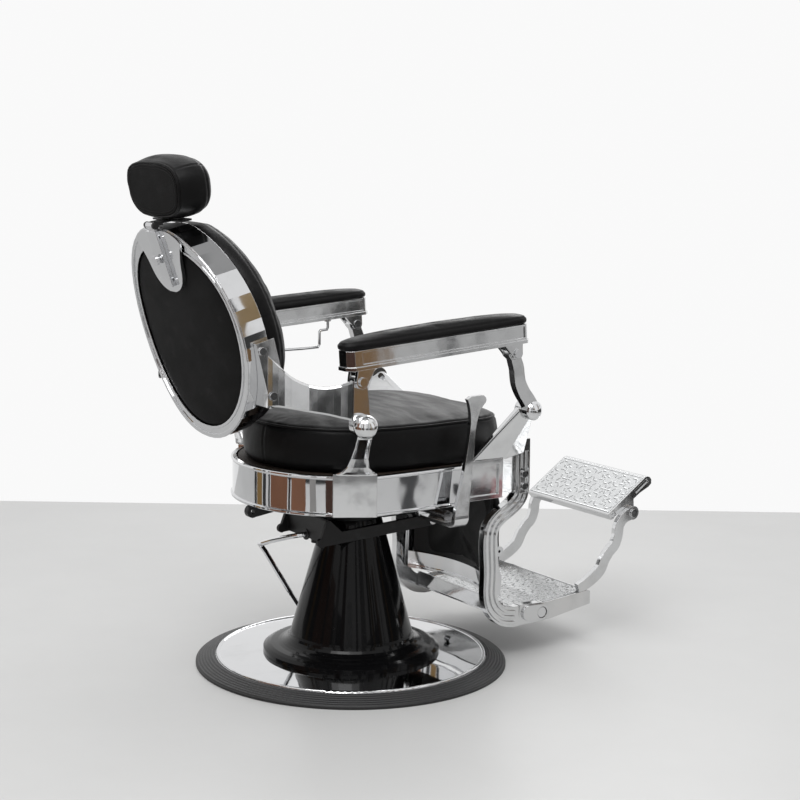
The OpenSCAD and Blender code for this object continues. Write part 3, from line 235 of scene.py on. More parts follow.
def chrome(name, rgb, rough, wave, edge):
    """Polished plate: long low waves from the polishing wheel, faint hairlines, smears, dust, and painted shade
    darkening the hollows.
    """
    f = Finish(name, Metallic=1.0)
    smears = f.noise(14.0, 3.0, 0.6).step(0.45, 0.75)
    hairs = f.noise(900.0, 2.0, 0.5, f.stretched((1.0, 0.06, 0.3)))
    dust = f.noise(420.0, 2.0, 0.5).step(0.62, 0.78)
    plate = f.blend(smears * 0.5 + dust * 0.3, rgb, tint(rgb, 0.88))
    # painted shade: the plate colour darkened almost to black where the hollows mask finds occlusion
    f.feed("Base Color", f.blend(f.hollows(HOLLOW_REACH) * HOLLOW_SHADE, plate, tint(rgb, 0.08)))
    f.feed("Roughness", rough + 0.05 * smears + 0.05 * dust)
    waves = f.noise(11.0, 1.0, 0.4)
    f.bump(waves * 0.9 + hairs * 0.002, wave, edge)
    return f.material


def casting(name, rgb):
    """Plated casting: softly rippled skin under the plate, small pores, smears, and painted shade darkening the
    hollows.
    """
    f = Finish(name, Metallic=1.0)
    ripples = f.noise(24.0, 1.0, 0.4)
    pores = f.noise(700.0, 2.0, 0.6).step(0.6, 0.8)
    smears = f.noise(18.0, 3.0, 0.6).step(0.42, 0.72)
    plate = f.blend(smears * 0.5 + pores * 0.3, rgb, tint(rgb, 0.84))
    # painted shade: the casting colour darkened almost to black where the hollows mask finds occlusion
    f.feed("Base Color", f.blend(f.hollows(HOLLOW_REACH) * HOLLOW_SHADE, plate, tint(rgb, 0.06)))
    f.feed("Roughness", 0.075 + 0.09 * smears + 0.06 * pores)
    f.bump(ripples * 0.95 + pores * 0.006, 0.0003, 0.0014)
    return f.material


def relief_plate(name, rgb, shade):
    """Satin plated relief: painted shade on the slopes of the pattern, and the low ground drawn slightly darker, more
    so in patches of dirt, found from the sheet's own height, 1 where raised; shade scales the whole colour, lighter
    above 1 and darker below, as painted light and shade.
    """
    f = Finish(name, Metallic=1.0)
    high = Value(f, f.node("ShaderNodeAttribute", {"attribute_name": "raised"}).outputs["Fac"])
    grime = f.noise(60.0, 3.0, 0.6).step(0.4, 0.7)
    sand = f.noise(1500.0, 2.0, 0.6)
    # painted shade: the slopes of the raised pattern, halfway up, drawn almost black; the low ground slightly darker,
    # with dirt patches
    foot = high * (1 - high) * 4.0
    shade_and_dirt = foot * 0.95 + (1 - high) * (0.04 + 0.16 * grime)
    f.feed("Base Color", f.blend(shade_and_dirt, tint(rgb, shade), tint(rgb, 0.2 * shade)))
    f.feed("Roughness", 0.26 + 0.06 * grime - 0.06 * high)
    f.bump(sand * 0.6 + grime * 0.2, 0.00006)
    return f.material


def machined(name, rgb):
    """Machined steel: fine tool lines and a little oil film."""
    f = Finish(name, Metallic=1.0)
    lines = f.noise(1600.0, 1.0, 0.5, f.stretched((0.02, 0.02, 1.0)))
    film = f.noise(22.0, 3.0, 0.6).step(0.45, 0.7)
    f.feed("Base Color", f.blend(film * 0.6, rgb, tint(rgb, 0.8)))
    f.feed("Roughness", 0.16 + 0.1 * film + 0.06 * lines)
    f.bump(lines, 0.00008, 0.0006)
    return f.material


def enamel(name, rgb):
    """Gloss enamel: orange peel, dust and paler rubbed spots under a clear coat."""
    f = Finish(name, Coat_Weight=0.2, Coat_Roughness=0.04, IOR=1.5, Specular_IOR_Level=0.07)
    peel = f.noise(240.0, 1.0, 0.4)
    waves = f.noise(16.0, 1.0, 0.4)
    dust = f.noise(160.0, 3.0, 0.6).step(0.58, 0.8)
    f.feed("Base Color", f.blend(dust * 0.5, rgb, tint(rgb, 2.6)))
    f.feed("Roughness", 0.16 + 0.16 * dust)
    f.bump(peel * 0.08 + waves * 0.5, 0.0004, 0.0012)
    return f.material


def powder_coat(name, rgb):
    """Powder coat: fine texture, rubbed paler in spots."""
    f = Finish(name, IOR=1.5, Specular_IOR_Level=0.3)
    grain = f.noise(1100.0, 2.0, 0.6)
    rubs = f.noise(40.0, 4.0, 0.6).step(0.56, 0.74)
    f.feed("Base Color", f.blend(rubs, rgb, tint(rgb, 2.0)))
    f.feed("Roughness", 0.36 + 0.12 * grain - 0.08 * rubs)
    f.bump(grain, 0.00016, 0.0009)
    return f.material


def moulded_rubber(name, rgb):
    """Moulded rubber: low rings round the upright axis, painted paler on their crests as a painted highlight, with
    scuffs and a fine grain.
    """
    f = Finish(name, IOR=1.5)
    grain = f.noise(1400.0, 2.0, 0.6)
    scuffs = f.noise(55.0, 4.0, 0.65).step(0.55, 0.75)
    x, y, _ = f.split()
    ribs = ((x * x + y * y) ** 0.5 * 1050.0).sine() * 0.5 + 0.5
    # painted highlight: the rib crests lightened in colour; the scuffs are real wear
    f.feed("Base Color", f.blend(scuffs * 0.4 + ribs.step(0.3, 1.0) * 0.6, tint(rgb, 0.5), tint(rgb, 1.9)))
    f.feed("Roughness", 0.46 + 0.14 * grain + 0.08 * scuffs)
    f.bump(ribs * 0.85 + grain * 0.15, 0.0012, 0.0008)
    return f.material


def plywood(name):
    """Black stained plywood: thin plies seen on the edge, long grain on the faces."""
    f = Finish(name, IOR=1.45)
    _, _, z = f.split()
    plies = (z * 3900.0).sine().step(-0.3, 0.3)
    grain = f.noise(130.0, 4.0, 0.6, f.stretched((1.0, 0.08, 1.0)))
    f.feed("Base Color", f.blend(plies * 0.5 + grain * 0.5, (0.020, 0.014, 0.010), (0.045, 0.030, 0.020)))
    f.feed("Roughness", 0.55 + 0.2 * grain)
    f.bump(grain, 0.0003)
    return f.material


def thread(name, rgb):
    """Sewing thread: fine twist and a dull sheen."""
    f = Finish(name, IOR=1.5)
    twist = f.noise(2600.0, 1.0, 0.5, f.stretched((1.0, 1.0, 0.4)))
    f.feed("Base Color", f.blend(twist, tint(rgb, 1.6), tint(rgb, 3.2)))
    f.feed("Roughness", 0.5 + 0.15 * twist)
    f.bump(twist, 0.0001)
    return f.material


# ---------- surfaces worked out with numpy, in millimetres ----------


def spow(v, n):
    """Signed power, for superellipses."""
    return np.sign(v) * np.abs(v) ** n


def smooth(v, low, high):
    """0 below low, 1 above high, smooth between."""
    t = np.clip((v - low) / (high - low), 0, 1)
    return t * t * (3 - 2 * t)


def turned_x(points, degrees):
    """Points turned about the x axis: y and z by the rotation formula."""
    c, s = math.cos(math.radians(degrees)), math.sin(math.radians(degrees))
    x, y, z = np.moveaxis(points, -1, 0)
    return np.stack([x, y * c - z * s, y * s + z * c], -1)


def outward(verts, faces, middle=None):
    """Arrays of faces, turned round if their signed volume about the middle is negative."""
    v = verts - (verts.mean(0) if middle is None else middle)
    total = 0.0
    for face in faces:
        a = v[face[:, 0]]
        for k in range(1, face.shape[1] - 1):
            total += np.einsum("ij,ij->i", a, np.cross(v[face[:, k]], v[face[:, k + 1]])).sum()
    return faces if total > 0 else [face[:, ::-1] for face in faces]


def piece(name, verts, faces, slot, carrier, finish):
    """A smooth mesh object in metres from points in millimetres and arrays of faces, meant for a body."""
    mesh = bpy.data.meshes.new(name)
    mesh.from_pydata((verts * 0.001).tolist(), [], [row for face in faces for row in face.tolist()])
    mesh.validate()
    mesh.polygons.foreach_set("use_smooth", np.ones(len(mesh.polygons), bool))
    obj = bpy.data.objects.new(name, mesh)
    bpy.context.scene.collection.objects.link(obj)
    mesh.materials.append(finish)
    obj["chair_body"] = carrier
    return obj


def rings(P):
    """Closed skin of rings P[i, j]: quads between rings, and a pole at the middle of the first and last."""
    m, n, _ = P.shape
    verts = np.vstack([P.reshape(-1, 3), P[0].mean(0), P[-1].mean(0)])
    i, j = (a.ravel() for a in np.meshgrid(np.arange(m - 1), np.arange(n), indexing="ij"))
    k = (j + 1) % n
    quads = np.stack([i * n + j, i * n + k, (i + 1) * n + k, (i + 1) * n + j], -1)
    j = np.arange(n)
    k = (j + 1) % n
    low = np.stack([np.full(n, m * n), k, j], -1)
    high = np.stack([np.full(n, m * n + 1), (m - 1) * n + j, (m - 1) * n + k], -1)
    return verts, outward(verts, [quads, np.vstack([low, high])])


def eased(rows, count):
    """Rows of numbers resampled evenly by length with a smooth curve through them (Catmull-Rom)."""
    rows = np.array(rows, float)
    ends = np.vstack([2 * rows[0] - rows[1], rows, 2 * rows[-1] - rows[-2]])
    way = np.concatenate([[0], np.cumsum(np.linalg.norm(np.diff(rows, axis=0), axis=1))])
    s = np.linspace(0, way[-1], count)
    k = np.clip(np.searchsorted(way, s, side="right") - 1, 0, len(rows) - 2)
    t = ((s - way[k]) / (way[k + 1] - way[k]))[:, None]
    a, b, c, d = ends[k], ends[k + 1], ends[k + 2], ends[k + 3]
    return 0.5 * (2 * b + (c - a) * t + (2 * a - 5 * b + 4 * c - d) * t ** 2 + (3 * b - a - 3 * c + d) * t ** 3)


def even(path, step, closed):
    """Points along a path at an even step, by interpolation on its length."""
    path = np.vstack([path, path[:1]]) if closed else path
    way = np.concatenate([[0], np.cumsum(np.linalg.norm(np.diff(path, axis=0), axis=1))])
    count = max(4, int(round(way[-1] / step)))
    s = np.linspace(0, way[-1], count + 1)[: count if closed else count + 1]
    return np.stack([np.interp(s, way, path[:, a]) for a in range(3)], -1)


def frames(path, normal, closed):
    """Unit tangent, side and up along a path, a left-handed set: up is the normal made square to the tangent."""
    if closed:
        t = np.roll(path, -1, 0) - np.roll(path, 1, 0)
    else:
        t = np.gradient(path, axis=0)
    t /= np.linalg.norm(t, axis=1)[:, None]
    side = np.cross(t, normal)
    side /= np.linalg.norm(side, axis=1)[:, None]
    return t, side, np.cross(side, t)


def carried(path, normal, profile, closed):
    """A closed profile (p, q) carried along a path: each point is path + p side + q up."""
    _, side, up = frames(path, normal, closed)
    P = path[:, None] + side[:, None] * profile[None, :, :1] + up[:, None] * profile[None, :, 1:]
    if not closed:
        return rings(P)
    m, n, _ = P.shape
    i, j = (a.ravel() for a in np.meshgrid(np.arange(m), np.arange(n), indexing="ij"))
    k, i2 = (j + 1) % n, (i + 1) % m
    verts = P.reshape(-1, 3)
    quads = np.stack([i * n + j, i * n + k, i2 * n + k, i2 * n + j], -1)
    return verts, outward(verts, [quads], path.mean(0))


def circle(r, sides=10):
    """A circle's points (side, up)."""
    f = np.linspace(0, 2 * np.pi, sides, endpoint=False)
    return np.stack([r * np.cos(f), r * np.sin(f)], -1)


def stitches(path, normal, long, r):
    """A bead at each point of a path: rings (g long / 2, r sqrt(1 - 0.9 g^2)) for g from -1 to 1, along the tangent."""
    t, side, up = frames(path, normal, False)
    g = np.linspace(-1, 1, 5)[:, None]
    across = circle(r, 6)[None] * np.sqrt(1 - 0.9 * g ** 2)[..., None]
    along = np.broadcast_to(g[..., None] * long / 2, across[..., :1].shape)
    bead, bead_faces = rings(np.concatenate([along, across], -1))
    verts = (path[:, None] + t[:, None] * bead[None, :, :1] + side[:, None] * bead[None, :, 1:2]
             + up[:, None] * bead[None, :, 2:]).reshape(-1, 3)
    shift = (np.arange(len(path)) * len(bead))[:, None, None]
    # tangent, side and up are a left-handed set, which turns the bead's faces over
    return verts, [(face[None, :, ::-1] + shift).reshape(-1, face.shape[1]) for face in bead_faces]


# ---------- covers: cloth, seams and welts ----------


def coords(mesh):
    """A mesh's points as an array, in metres."""
    co = np.empty(len(mesh.vertices) * 3, np.float32)
    mesh.vertices.foreach_get("co", co)
    return co.reshape(-1, 3).astype(float)


def set_coords(mesh, co):
    """Puts points back into a mesh."""
    mesh.vertices.foreach_set("co", co.astype(np.float32).ravel())
    mesh.update()


def baked(obj):
    """Applies the object's modifiers to its mesh."""
    graph = bpy.context.evaluated_depsgraph_get()
    mesh = bpy.data.meshes.new_from_object(obj.evaluated_get(graph))
    old, name = obj.data, obj.name
    obj.modifiers.clear()
    obj.data = mesh
    bpy.data.meshes.remove(old)
    mesh.name = name
    mesh.polygons.foreach_set("use_smooth", np.ones(len(mesh.polygons), bool))
    return obj


def swell(obj, voxel, cap, hold):
    """A filled cover: even voxel mesh, 20 frames of cloth with inner pressure and no gravity, then each point's way
    is held to cap times hold(point), and one subdivision."""
    even_mesh = obj.modifiers.new("Even mesh", "REMESH")
    even_mesh.mode, even_mesh.voxel_size, even_mesh.use_smooth_shade = "VOXEL", voxel, True
    baked(obj)
    start = coords(obj.data)
    cloth = obj.modifiers.new("Cover", "CLOTH")
    s = cloth.settings
    s.quality, s.mass = 5, 0.25
    s.tension_stiffness = s.compression_stiffness = 14
    s.shear_stiffness, s.bending_stiffness = 6, 0.4
    s.use_pressure, s.uniform_pressure_force = True, 4.0
    s.effector_weights.gravity = 0
    cloth.point_cache.frame_start, cloth.point_cache.frame_end = 1, 20
    scene = bpy.context.scene
    for f in range(1, 21):
        scene.frame_set(f)
    graph = bpy.context.evaluated_depsgraph_get()
    moved = coords(obj.evaluated_get(graph).data) - start
    obj.modifiers.clear()
    scene.frame_set(1)
    way = np.linalg.norm(moved, axis=1) + 1e-9
    limit = cap * np.clip(hold(start * 1000), 0, 1)
    set_coords(obj.data, start + moved * (limit * np.tanh(way / (limit + 1e-6)) / way)[:, None])
    fine = obj.modifiers.new("Fine", "SUBSURF")
    fine.levels = fine.render_levels = 1
    return baked(obj)


def onto(obj, path):
    """A path in millimetres laid on the surface of obj: the nearest points and their normals."""
    graph = bpy.context.evaluated_depsgraph_get()
    tree = BVHTree.FromObject(obj, graph)
    hits = [tree.find_nearest(Vector(p * 0.001)) for p in path]
    return np.array([h[0] for h in hits]) * 1000, np.array([h[1] for h in hits])


def groove(obj, path, depth, width, ridge=0.0):
    """Draws the cover in along a path by depth times exp(-(d / width)^2), with a soft ridge beside it."""
    co = coords(obj.data) * 1000
    normal = np.empty(len(co) * 3, np.float32)
    obj.data.vertices.foreach_get("normal", normal)
    near = np.where(((co > path.min(0) - 5 * width) & (co < path.max(0) + 5 * width)).all(1))[0]
    d2 = np.full(len(near), 1e9)
    for part in np.array_split(path, max(1, len(path) // 60)):
        d2 = np.minimum(d2, ((co[near, None] - part[None]) ** 2).sum(-1).min(1))
    d = np.sqrt(d2)
    lift = -depth * np.exp(-(d / width) ** 2) + ridge * np.exp(-((d - 2.4 * width) / (1.2 * width)) ** 2)
    co[near] += normal.reshape(-1, 3)[near] * lift[:, None]
    set_coords(obj.data, co * 0.001)


def made(name):
    """The finish of that name, made before."""
    return bpy.data.materials[name]


def leather_piece(name, skin, carrier, finish="Black leather"):
    """A piece of the upholstery from its points and faces."""
    return piece(name, *skin, "black_leather", carrier, made(finish))


def body(obj):
    """Lets a piece move with the body that it belongs to."""
    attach(obj, obj["chair_body"])
    del obj["chair_body"]
    return obj


# ---------- the chair's own shapes, in millimetres ----------
# Each outline takes d, how far it is drawn in from its widest. A list of ROWS is a section: (d, height or depth).

ANGLES = np.linspace(0, 2 * np.pi, 180, endpoint=False)

SEAT_HALF_WIDTH, SEAT_REACH_BACK, SEAT_REACH_FRONT = 221.0, 226.0, 305.0
SEAT_MIDDLE_Y, SEAT_FOOT_Z, SEAT_THICK = 15.0, 454.3, 107.0
SEAT_FALL, SEAT_FALL_START, SEAT_FALL_RUN = 5.0, 110.0, 180.0
SEAT_ROWS = [[15, SEAT_FOOT_Z], [7, 462.3], [3, 480.3], [1.5, 504.3], [2.5, 532], [5, 541], [8, 545], [12, 548.5],
             [40, 553], [80, 556.5], [130, 558.5], [180, 559.2]]


def seat_line(d, z, f=ANGLES):
    """Seat outline: half an ellipse behind, half a squarish superellipse in front. The top falls towards the front by
    SEAT_FALL (forward / SEAT_FALL_RUN)^1.5 from SEAT_FALL_START ahead of the column."""
    c, s = np.cos(f), np.sin(f)
    n, reach = np.where(s > 0, 2.0, 4.0), np.where(s > 0, SEAT_REACH_BACK, SEAT_REACH_FRONT)
    y = SEAT_MIDDLE_Y + (reach - d) * spow(s, 2 / n)
    forward = np.clip((-y - SEAT_FALL_START) / SEAT_FALL_RUN, 0, None)
    fall = SEAT_FALL * forward ** 1.5 * (z - SEAT_FOOT_Z) / SEAT_THICK
    return np.stack([(SEAT_HALF_WIDTH - d) * spow(c, 2 / n), y, z - fall], -1)


SIN_BACK, COS_BACK = math.sin(math.radians(14.9)), math.cos(math.radians(14.9))
BACK_Y, BACK_Z = 382.9, 725.9
BACK_HALF_WIDTH, BACK_DOWN, BACK_UP, BACK_FLAT = 218.0, 207.0, 236.0, 229.0
BACK_WIDENS, BACK_FLATTENS = 0.09, 0.15
BOW_RADIUS, HOOP_DEPTH = 1273.9, 48.3
BACK_ROWS = [[12, 0], [8, 3], [6.5, 9], [5.5, 18], [7, 27], [11, 36], [20, 44.5], [34, 51], [52, 56.5], [82, 61],
             [125, 63.5], [180, 64]]
PANEL_HALF_WIDTH, PANEL_HALF_HEIGHT, PANEL_RISE = 194.3, 188.5, 6.0
PANEL_ROWS = [[3, -6], [0.6, -6], [0.5, -4.5], [1.6, -2.6], [6, -1.2], [16, 0.0], [40, 1.6], [80, 3.0], [130, 3.8],
              [180, 4.0]]


def bow(u):
    """How far the back bows at height u, on a circle of BOW_RADIUS."""
    return BOW_RADIUS - np.sqrt(BOW_RADIUS ** 2 - u ** 2)


def back_line(d, f=ANGLES):
    """Back outline: an oval that widens upwards and is nearly flat above BACK_FLAT."""
    c, s = np.cos(f), np.sin(f)
    n, reach = np.where(s > 0, 1.9, 2.11), np.where(s > 0, BACK_UP, BACK_DOWN)
    v = spow(s, 2 / n)
    x = (BACK_HALF_WIDTH - d) * (1 + BACK_WIDENS * v) * spow(c, 2 / n)
    u, top = v * (reach - d), BACK_FLAT - d
    return x, np.where(u > top, top + BACK_FLATTENS * (u - top), u)


def panel_line(d, f=ANGLES):
    """Outline of the rear panel: an oval that widens upwards."""
    v = spow(np.sin(f), 2 / 2.1)
    x = (PANEL_HALF_WIDTH - d) * (1 + BACK_WIDENS * v) * spow(np.cos(f), 2 / 2.1)
    return x, PANEL_RISE + v * (PANEL_HALF_HEIGHT - d)


def on_back(x, u, w):
    """A point of the back: x across, u up its lean, w out of its rear face."""
    return np.stack([x, BACK_Y + u * SIN_BACK + w * COS_BACK, BACK_Z + u * COS_BACK - w * SIN_BACK], -1)


def back_cushion_line(d, depth, f=ANGLES):
    """Back cushion outline at a depth in front of the hoop."""
    x, u = back_line(d, f)
    return on_back(x, u, bow(u) - HOOP_DEPTH - depth)


HEAD_TILT = 10
SIN_HEAD, COS_HEAD = math.sin(math.radians(HEAD_TILT)), math.cos(math.radians(HEAD_TILT))
HEAD_PIN = np.array((0, 471.05, 948.4))
HEAD_HALF_WIDTH, HEAD_HALF_HEIGHT, HEAD_RISE, HEAD_SETBACK, HEAD_WIDENS = 114.0, 61.0, 67.0, 14.0, 0.05
HEAD_ROWS = [[16, 0], [8.5, 1.5], [7, 6], [3.5, 16], [1.2, 34], [2, 52], [6.5, 66], [15, 75.5], [30, 82], [46, 86],
             [56, 87]]


def head_line(d, depth, f=ANGLES):
    """Headrest outline at a depth in front of its rear face, tilted about its pin."""
    v = spow(np.sin(f), 0.7)
    x = (HEAD_HALF_WIDTH - d) * (1 + HEAD_WIDENS * v) * spow(np.cos(f), 0.66)
    z = HEAD_RISE + (HEAD_HALF_HEIGHT - min(d, 50)) * v
    return turned_x(np.stack([x, np.full_like(f, -HEAD_SETBACK - depth), z], -1), -HEAD_TILT) + HEAD_PIN


def behind_head_pin(points):
    """How far points lie behind the headrest's pin, square to its rear face."""
    return (points[:, 1] - HEAD_PIN[1]) * COS_HEAD - (points[:, 2] - HEAD_PIN[2]) * SIN_HEAD


PAD_TURN, PAD_SLOPE = -4.27, 0.0747
ARM_HINGE = np.array((0, 217.0, 684.0))
PAD_X, PAD_Y, PAD_FOOT, RAIL_LENGTH = 298.0, -216.5, 38.3, 433.0
PAD_HALF_WIDTH, PAD_HALF_LENGTH, PAD_THINS = 31.0, 222.5, 0.28
PAD_ROWS = [[5, 0], [1.8, 2], [0.3, 7], [0.8, 12], [3, 16], [8, 20], [15, 23.6], [22, 25.4], [27, 26]]


def pad_line(side, d, h, f=ANGLES):
    """Arm pad outline at height h over the rail, lower towards its ends."""
    y = PAD_Y + (PAD_HALF_LENGTH - d) * spow(np.sin(f), 0.2)
    t = (y - PAD_Y) / RAIL_LENGTH
    low = 1 - PAD_THINS * 4 * t ** 2 * np.clip((h - 8) / 19, 0, 1)
    x = PAD_X * side + (PAD_HALF_WIDTH - d) * spow(np.cos(f), 0.75)
    return turned_x(np.stack([x, y, PAD_FOOT + h * low], -1), PAD_TURN) + ARM_HINGE


CALF_AXIS_Y, CALF_RADIUS, CALF_BEND = 19.0, 321.5, 315.0
CALF_LOW, CALF_HIGH = 158.6, 363.6
CALF_HALF_WIDTH, CALF_CORNER = 133.0, 0.28
CALF_ROWS = [[5, 0], [1, 1.5], [0, 6], [0.6, 12], [3, 17], [8, 20.5], [20, 23], [45, 24.5], [80, 25]]


def calf_line(d, out, f=ANGLES):
    """Calf pad outline bent round the calf panel's upright axis, at a distance out of the panel. Its width is measured
    on a circle of CALF_BEND."""
    across = (CALF_HALF_WIDTH - d) * spow(np.cos(f), CALF_CORNER) / CALF_BEND
    up = ((CALF_HIGH - CALF_LOW) / 2 - d) * spow(np.sin(f), CALF_CORNER)
    a, r = across - math.pi / 2, CALF_RADIUS + out
    return np.stack([r * np.cos(a), CALF_AXIS_Y + r * np.sin(a), (CALF_LOW + CALF_HIGH) / 2 + up], -1)


# ---------- operators: one for each piece or group ----------


class CHAIR_OT_finishes(bpy.types.Operator):
    """Makes every finish and gives each carried node its own."""

    bl_idname = "chair.finishes"
    bl_label = "Finishes"

    def execute(self, context):
        c = context.scene.chair_colours
        rgb = {k: tuple(getattr(c, k)) for k in ChairColours.__annotations__}
        by_slot = {
            "rubber": moulded_rubber("Rubber", rgb["rubber"]),
            "mirror_chrome": chrome("Mirror chrome", tint(rgb["chrome"], 0.93), 0.035, 0.0009, 0.0011),
            "chrome_trim": chrome("Bright trim", rgb["chrome"], 0.06, 0.0004, 0.0007),
            "gloss_black": enamel("Black enamel", rgb["paint"]),
            "black_steel": powder_coat("Black powder coat", rgb["dark_steel"]),
            "grey_iron": powder_coat("Grey iron paint", rgb["iron"]),
            "bright_steel": machined("Machined steel", rgb["steel"]),
            "cast_metal": casting("Plated casting", rgb["casting"]),
            "relief_metal": casting("Plated foot casting", rgb["casting"]),
            "black_leather": leather("Black leather", rgb["leather"], 0.36, 0.00011, 0.12),
            "plywood": plywood("Plywood"),
        }
        leather("Panel leather", rgb["leather"], 0.5, 0.00018, 0.05, 0.06)
        # painted light and shade: the step plate's copy of the plate finish is painted lighter (1.08) and the foot
        # plate's darker (0.64)
        relief_plate("Relief plate", rgb["relief"], 1.08)
        relief_plate("Worn relief plate", rgb["relief"], 0.64)
        thread("Black thread", rgb["leather"])
        missing = sorted(set(NODE_SLOT.values()) - set(by_slot))
        if missing:
            raise RuntimeError(f"no finish for the slots {missing}")
        for name, obj in NODES.items():
            finish = by_slot[NODE_SLOT[name]]
            if not obj.material_slots:
                obj.data.materials.append(finish)
            for holder in obj.material_slots:
                holder.material = finish
        return {"FINISHED"}


class CHAIR_OT_seat(bpy.types.Operator):
    """Seat cushion with its crown, the seams of its boxing and the welt."""

    bl_idname = "chair.seat"
    bl_label = "Seat cushion"

    def execute(self, context):
        s = context.scene.chair_sizes
        P = np.stack([seat_line(d, z) for d, z in eased(SEAT_ROWS, 44)])
        obj = leather_piece("seat_cover", rings(P), "seat")
        swell(obj, s.voxel, s.seat_swell, lambda p: 0.25 + 0.75 * smooth(p[:, 2], 505, 550))
        on, out = onto(obj, even(seat_line(7, 545.5), 4.0, True))
        groove(obj, on, 1.6, 3.4, 0.5)
        body(leather_piece("seat_welt", carried(on - out * 0.2, out, circle(s.welt * 1000), True), "seat"))
        # seams across the boxing: behind, and at both front corners
        for degrees in (97, -52, 232):
            f = np.array([math.radians(degrees)])
            seam = np.array([seat_line(d, z, f)[0] for d, z in eased(SEAT_ROWS[:7], 26)])
            groove(obj, onto(obj, seam[3:-2])[0], 1.1, 2.2, 0.3)
        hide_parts("seat_cushion")
        body(obj)
        return {"FINISHED"}


class CHAIR_OT_back(bpy.types.Operator):
    """Back cushion with the seam round its side, and the leather panel behind it."""

    bl_idname = "chair.back"
    bl_label = "Back cushion and rear panel"

    def execute(self, context):
        s = context.scene.chair_sizes
        P = np.stack([back_cushion_line(d, depth) for d, depth in eased(BACK_ROWS, 44)])
        obj = leather_piece("back_cover", rings(P), "back")
        swell(obj, s.voxel, s.back_swell,
              lambda p: 0.2 + 0.8 * smooth((BACK_Y - p[:, 1]) * COS_BACK - (BACK_Z - p[:, 2]) * SIN_BACK, 66, 100))
        groove(obj, onto(obj, even(back_cushion_line(9.0, 33), 4.0, True))[0], 1.4, 3.0, 0.4)
        # seams across the boxing; the last lies on the second and deepens it
        for degrees in (168, 338, 12, -22):
            f = np.array([math.radians(degrees)])
            seam = np.array([back_cushion_line(d, depth, f)[0] for d, depth in eased(BACK_ROWS[1:6], 16)])
            groove(obj, onto(obj, seam)[0], 0.9, 2.0, 0.2)
        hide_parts("back_cushion")
        body(obj)

        # rear panel: its foot 6 mm inside the bowed rear face, its middle 4 mm proud of it
        layers = []
        for d, w in eased(PANEL_ROWS, 40):
            x, u = panel_line(d)
            layers.append(on_back(x, u, bow(u) + w))
        panel = leather_piece("rear_leather_panel", rings(np.stack(layers)), "back", "Panel leather")
        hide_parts("rear_panel")
        body(panel)
        return {"FINISHED"}


class CHAIR_OT_headrest(bpy.types.Operator):
    """Headrest cushion: flat rear face with a welt and double stitching, boxed sides with a seam."""

    bl_idname = "chair.headrest"
    bl_label = "Headrest cushion"

    def execute(self, context):
        s = context.scene.chair_sizes
        P = np.stack([head_line(d, depth) for d, depth in eased(HEAD_ROWS, 40)])
        obj = leather_piece("headrest_cover", rings(P), "headrest")
        swell(obj, s.voxel * 0.75, s.head_swell, lambda p: smooth(-behind_head_pin(p) - HEAD_SETBACK, 4, 30))
        rear, rear_out = onto(obj, even(head_line(7.5, 2.5), 3.0, True))
        front, _ = onto(obj, even(head_line(5.0, 64), 3.0, True))
        for path in (rear, front):
            groove(obj, path, 1.2, 2.6, 0.4)
        body(leather_piece("headrest_welt", carried(rear, rear_out, circle(s.welt * 1000 * 0.9), True), "headrest"))
        # seams across the boxing at the upper corners
        for degrees in (140, 40):
            f = np.array([math.radians(degrees)])
            seam = np.array([head_line(d, depth, f)[0] for d, depth in eased(HEAD_ROWS[2:7], 20)])
            groove(obj, onto(obj, seam)[0], 1.0, 2.0, 0.3)
        for inset, name in ((13.0, "outer"), (18.0, "inner")):
            on, out = onto(obj, even(head_line(inset, 0.3), s.stitch * 1000, True))
            groove(obj, on, 0.35, 1.5)
            beads = stitches(on + out * 0.1, out, 3.2, 0.42)
            body(leather_piece(f"headrest_stitches_{name}", beads, "headrest", "Black thread"))
        # the rear face is covered in the duller panel leather
        obj.data.materials.append(made("Panel leather"))
        faces = obj.data.polygons
        normal, middle = np.empty(len(faces) * 3, np.float32), np.empty(len(faces) * 3, np.float32)
        faces.foreach_get("normal", normal)
        faces.foreach_get("center", middle)
        rearward = normal.reshape(-1, 3) @ np.array((0, COS_HEAD, -SIN_HEAD)) > 0.75
        behind = rearward & (behind_head_pin(middle.reshape(-1, 3) * 1000) > -20)
        faces.foreach_set("material_index", behind.astype(np.int32))
        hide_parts("headrest_cushion")
        body(obj)
        return {"FINISHED"}


class CHAIR_OT_arm_pads(bpy.types.Operator):
    """Arm pads with a seam along each side."""

    bl_idname = "chair.arm_pads"
    bl_label = "Arm pads"

    def execute(self, context):
        s = context.scene.chair_sizes
        for side, name in ((-1, "right"), (1, "left")):
            P = np.stack([pad_line(side, d, h) for d, h in eased(PAD_ROWS, 26)])
            obj = leather_piece(f"arm_pad_cover_{name}", rings(P), f"armrest_{name}")
            base = P[0].mean(0)
            swell(obj, s.voxel * 0.62, s.pad_swell,
                  lambda p: smooth(p[:, 2] - base[2] + PAD_SLOPE * (p[:, 1] - base[1]), 4, 14))
            groove(obj, onto(obj, even(pad_line(side, 2.6, 15.5), 3.0, True))[0], 0.8, 1.9, 0.25)
            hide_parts(f"arm_pad_{name}")
            body(obj)
        return {"FINISHED"}


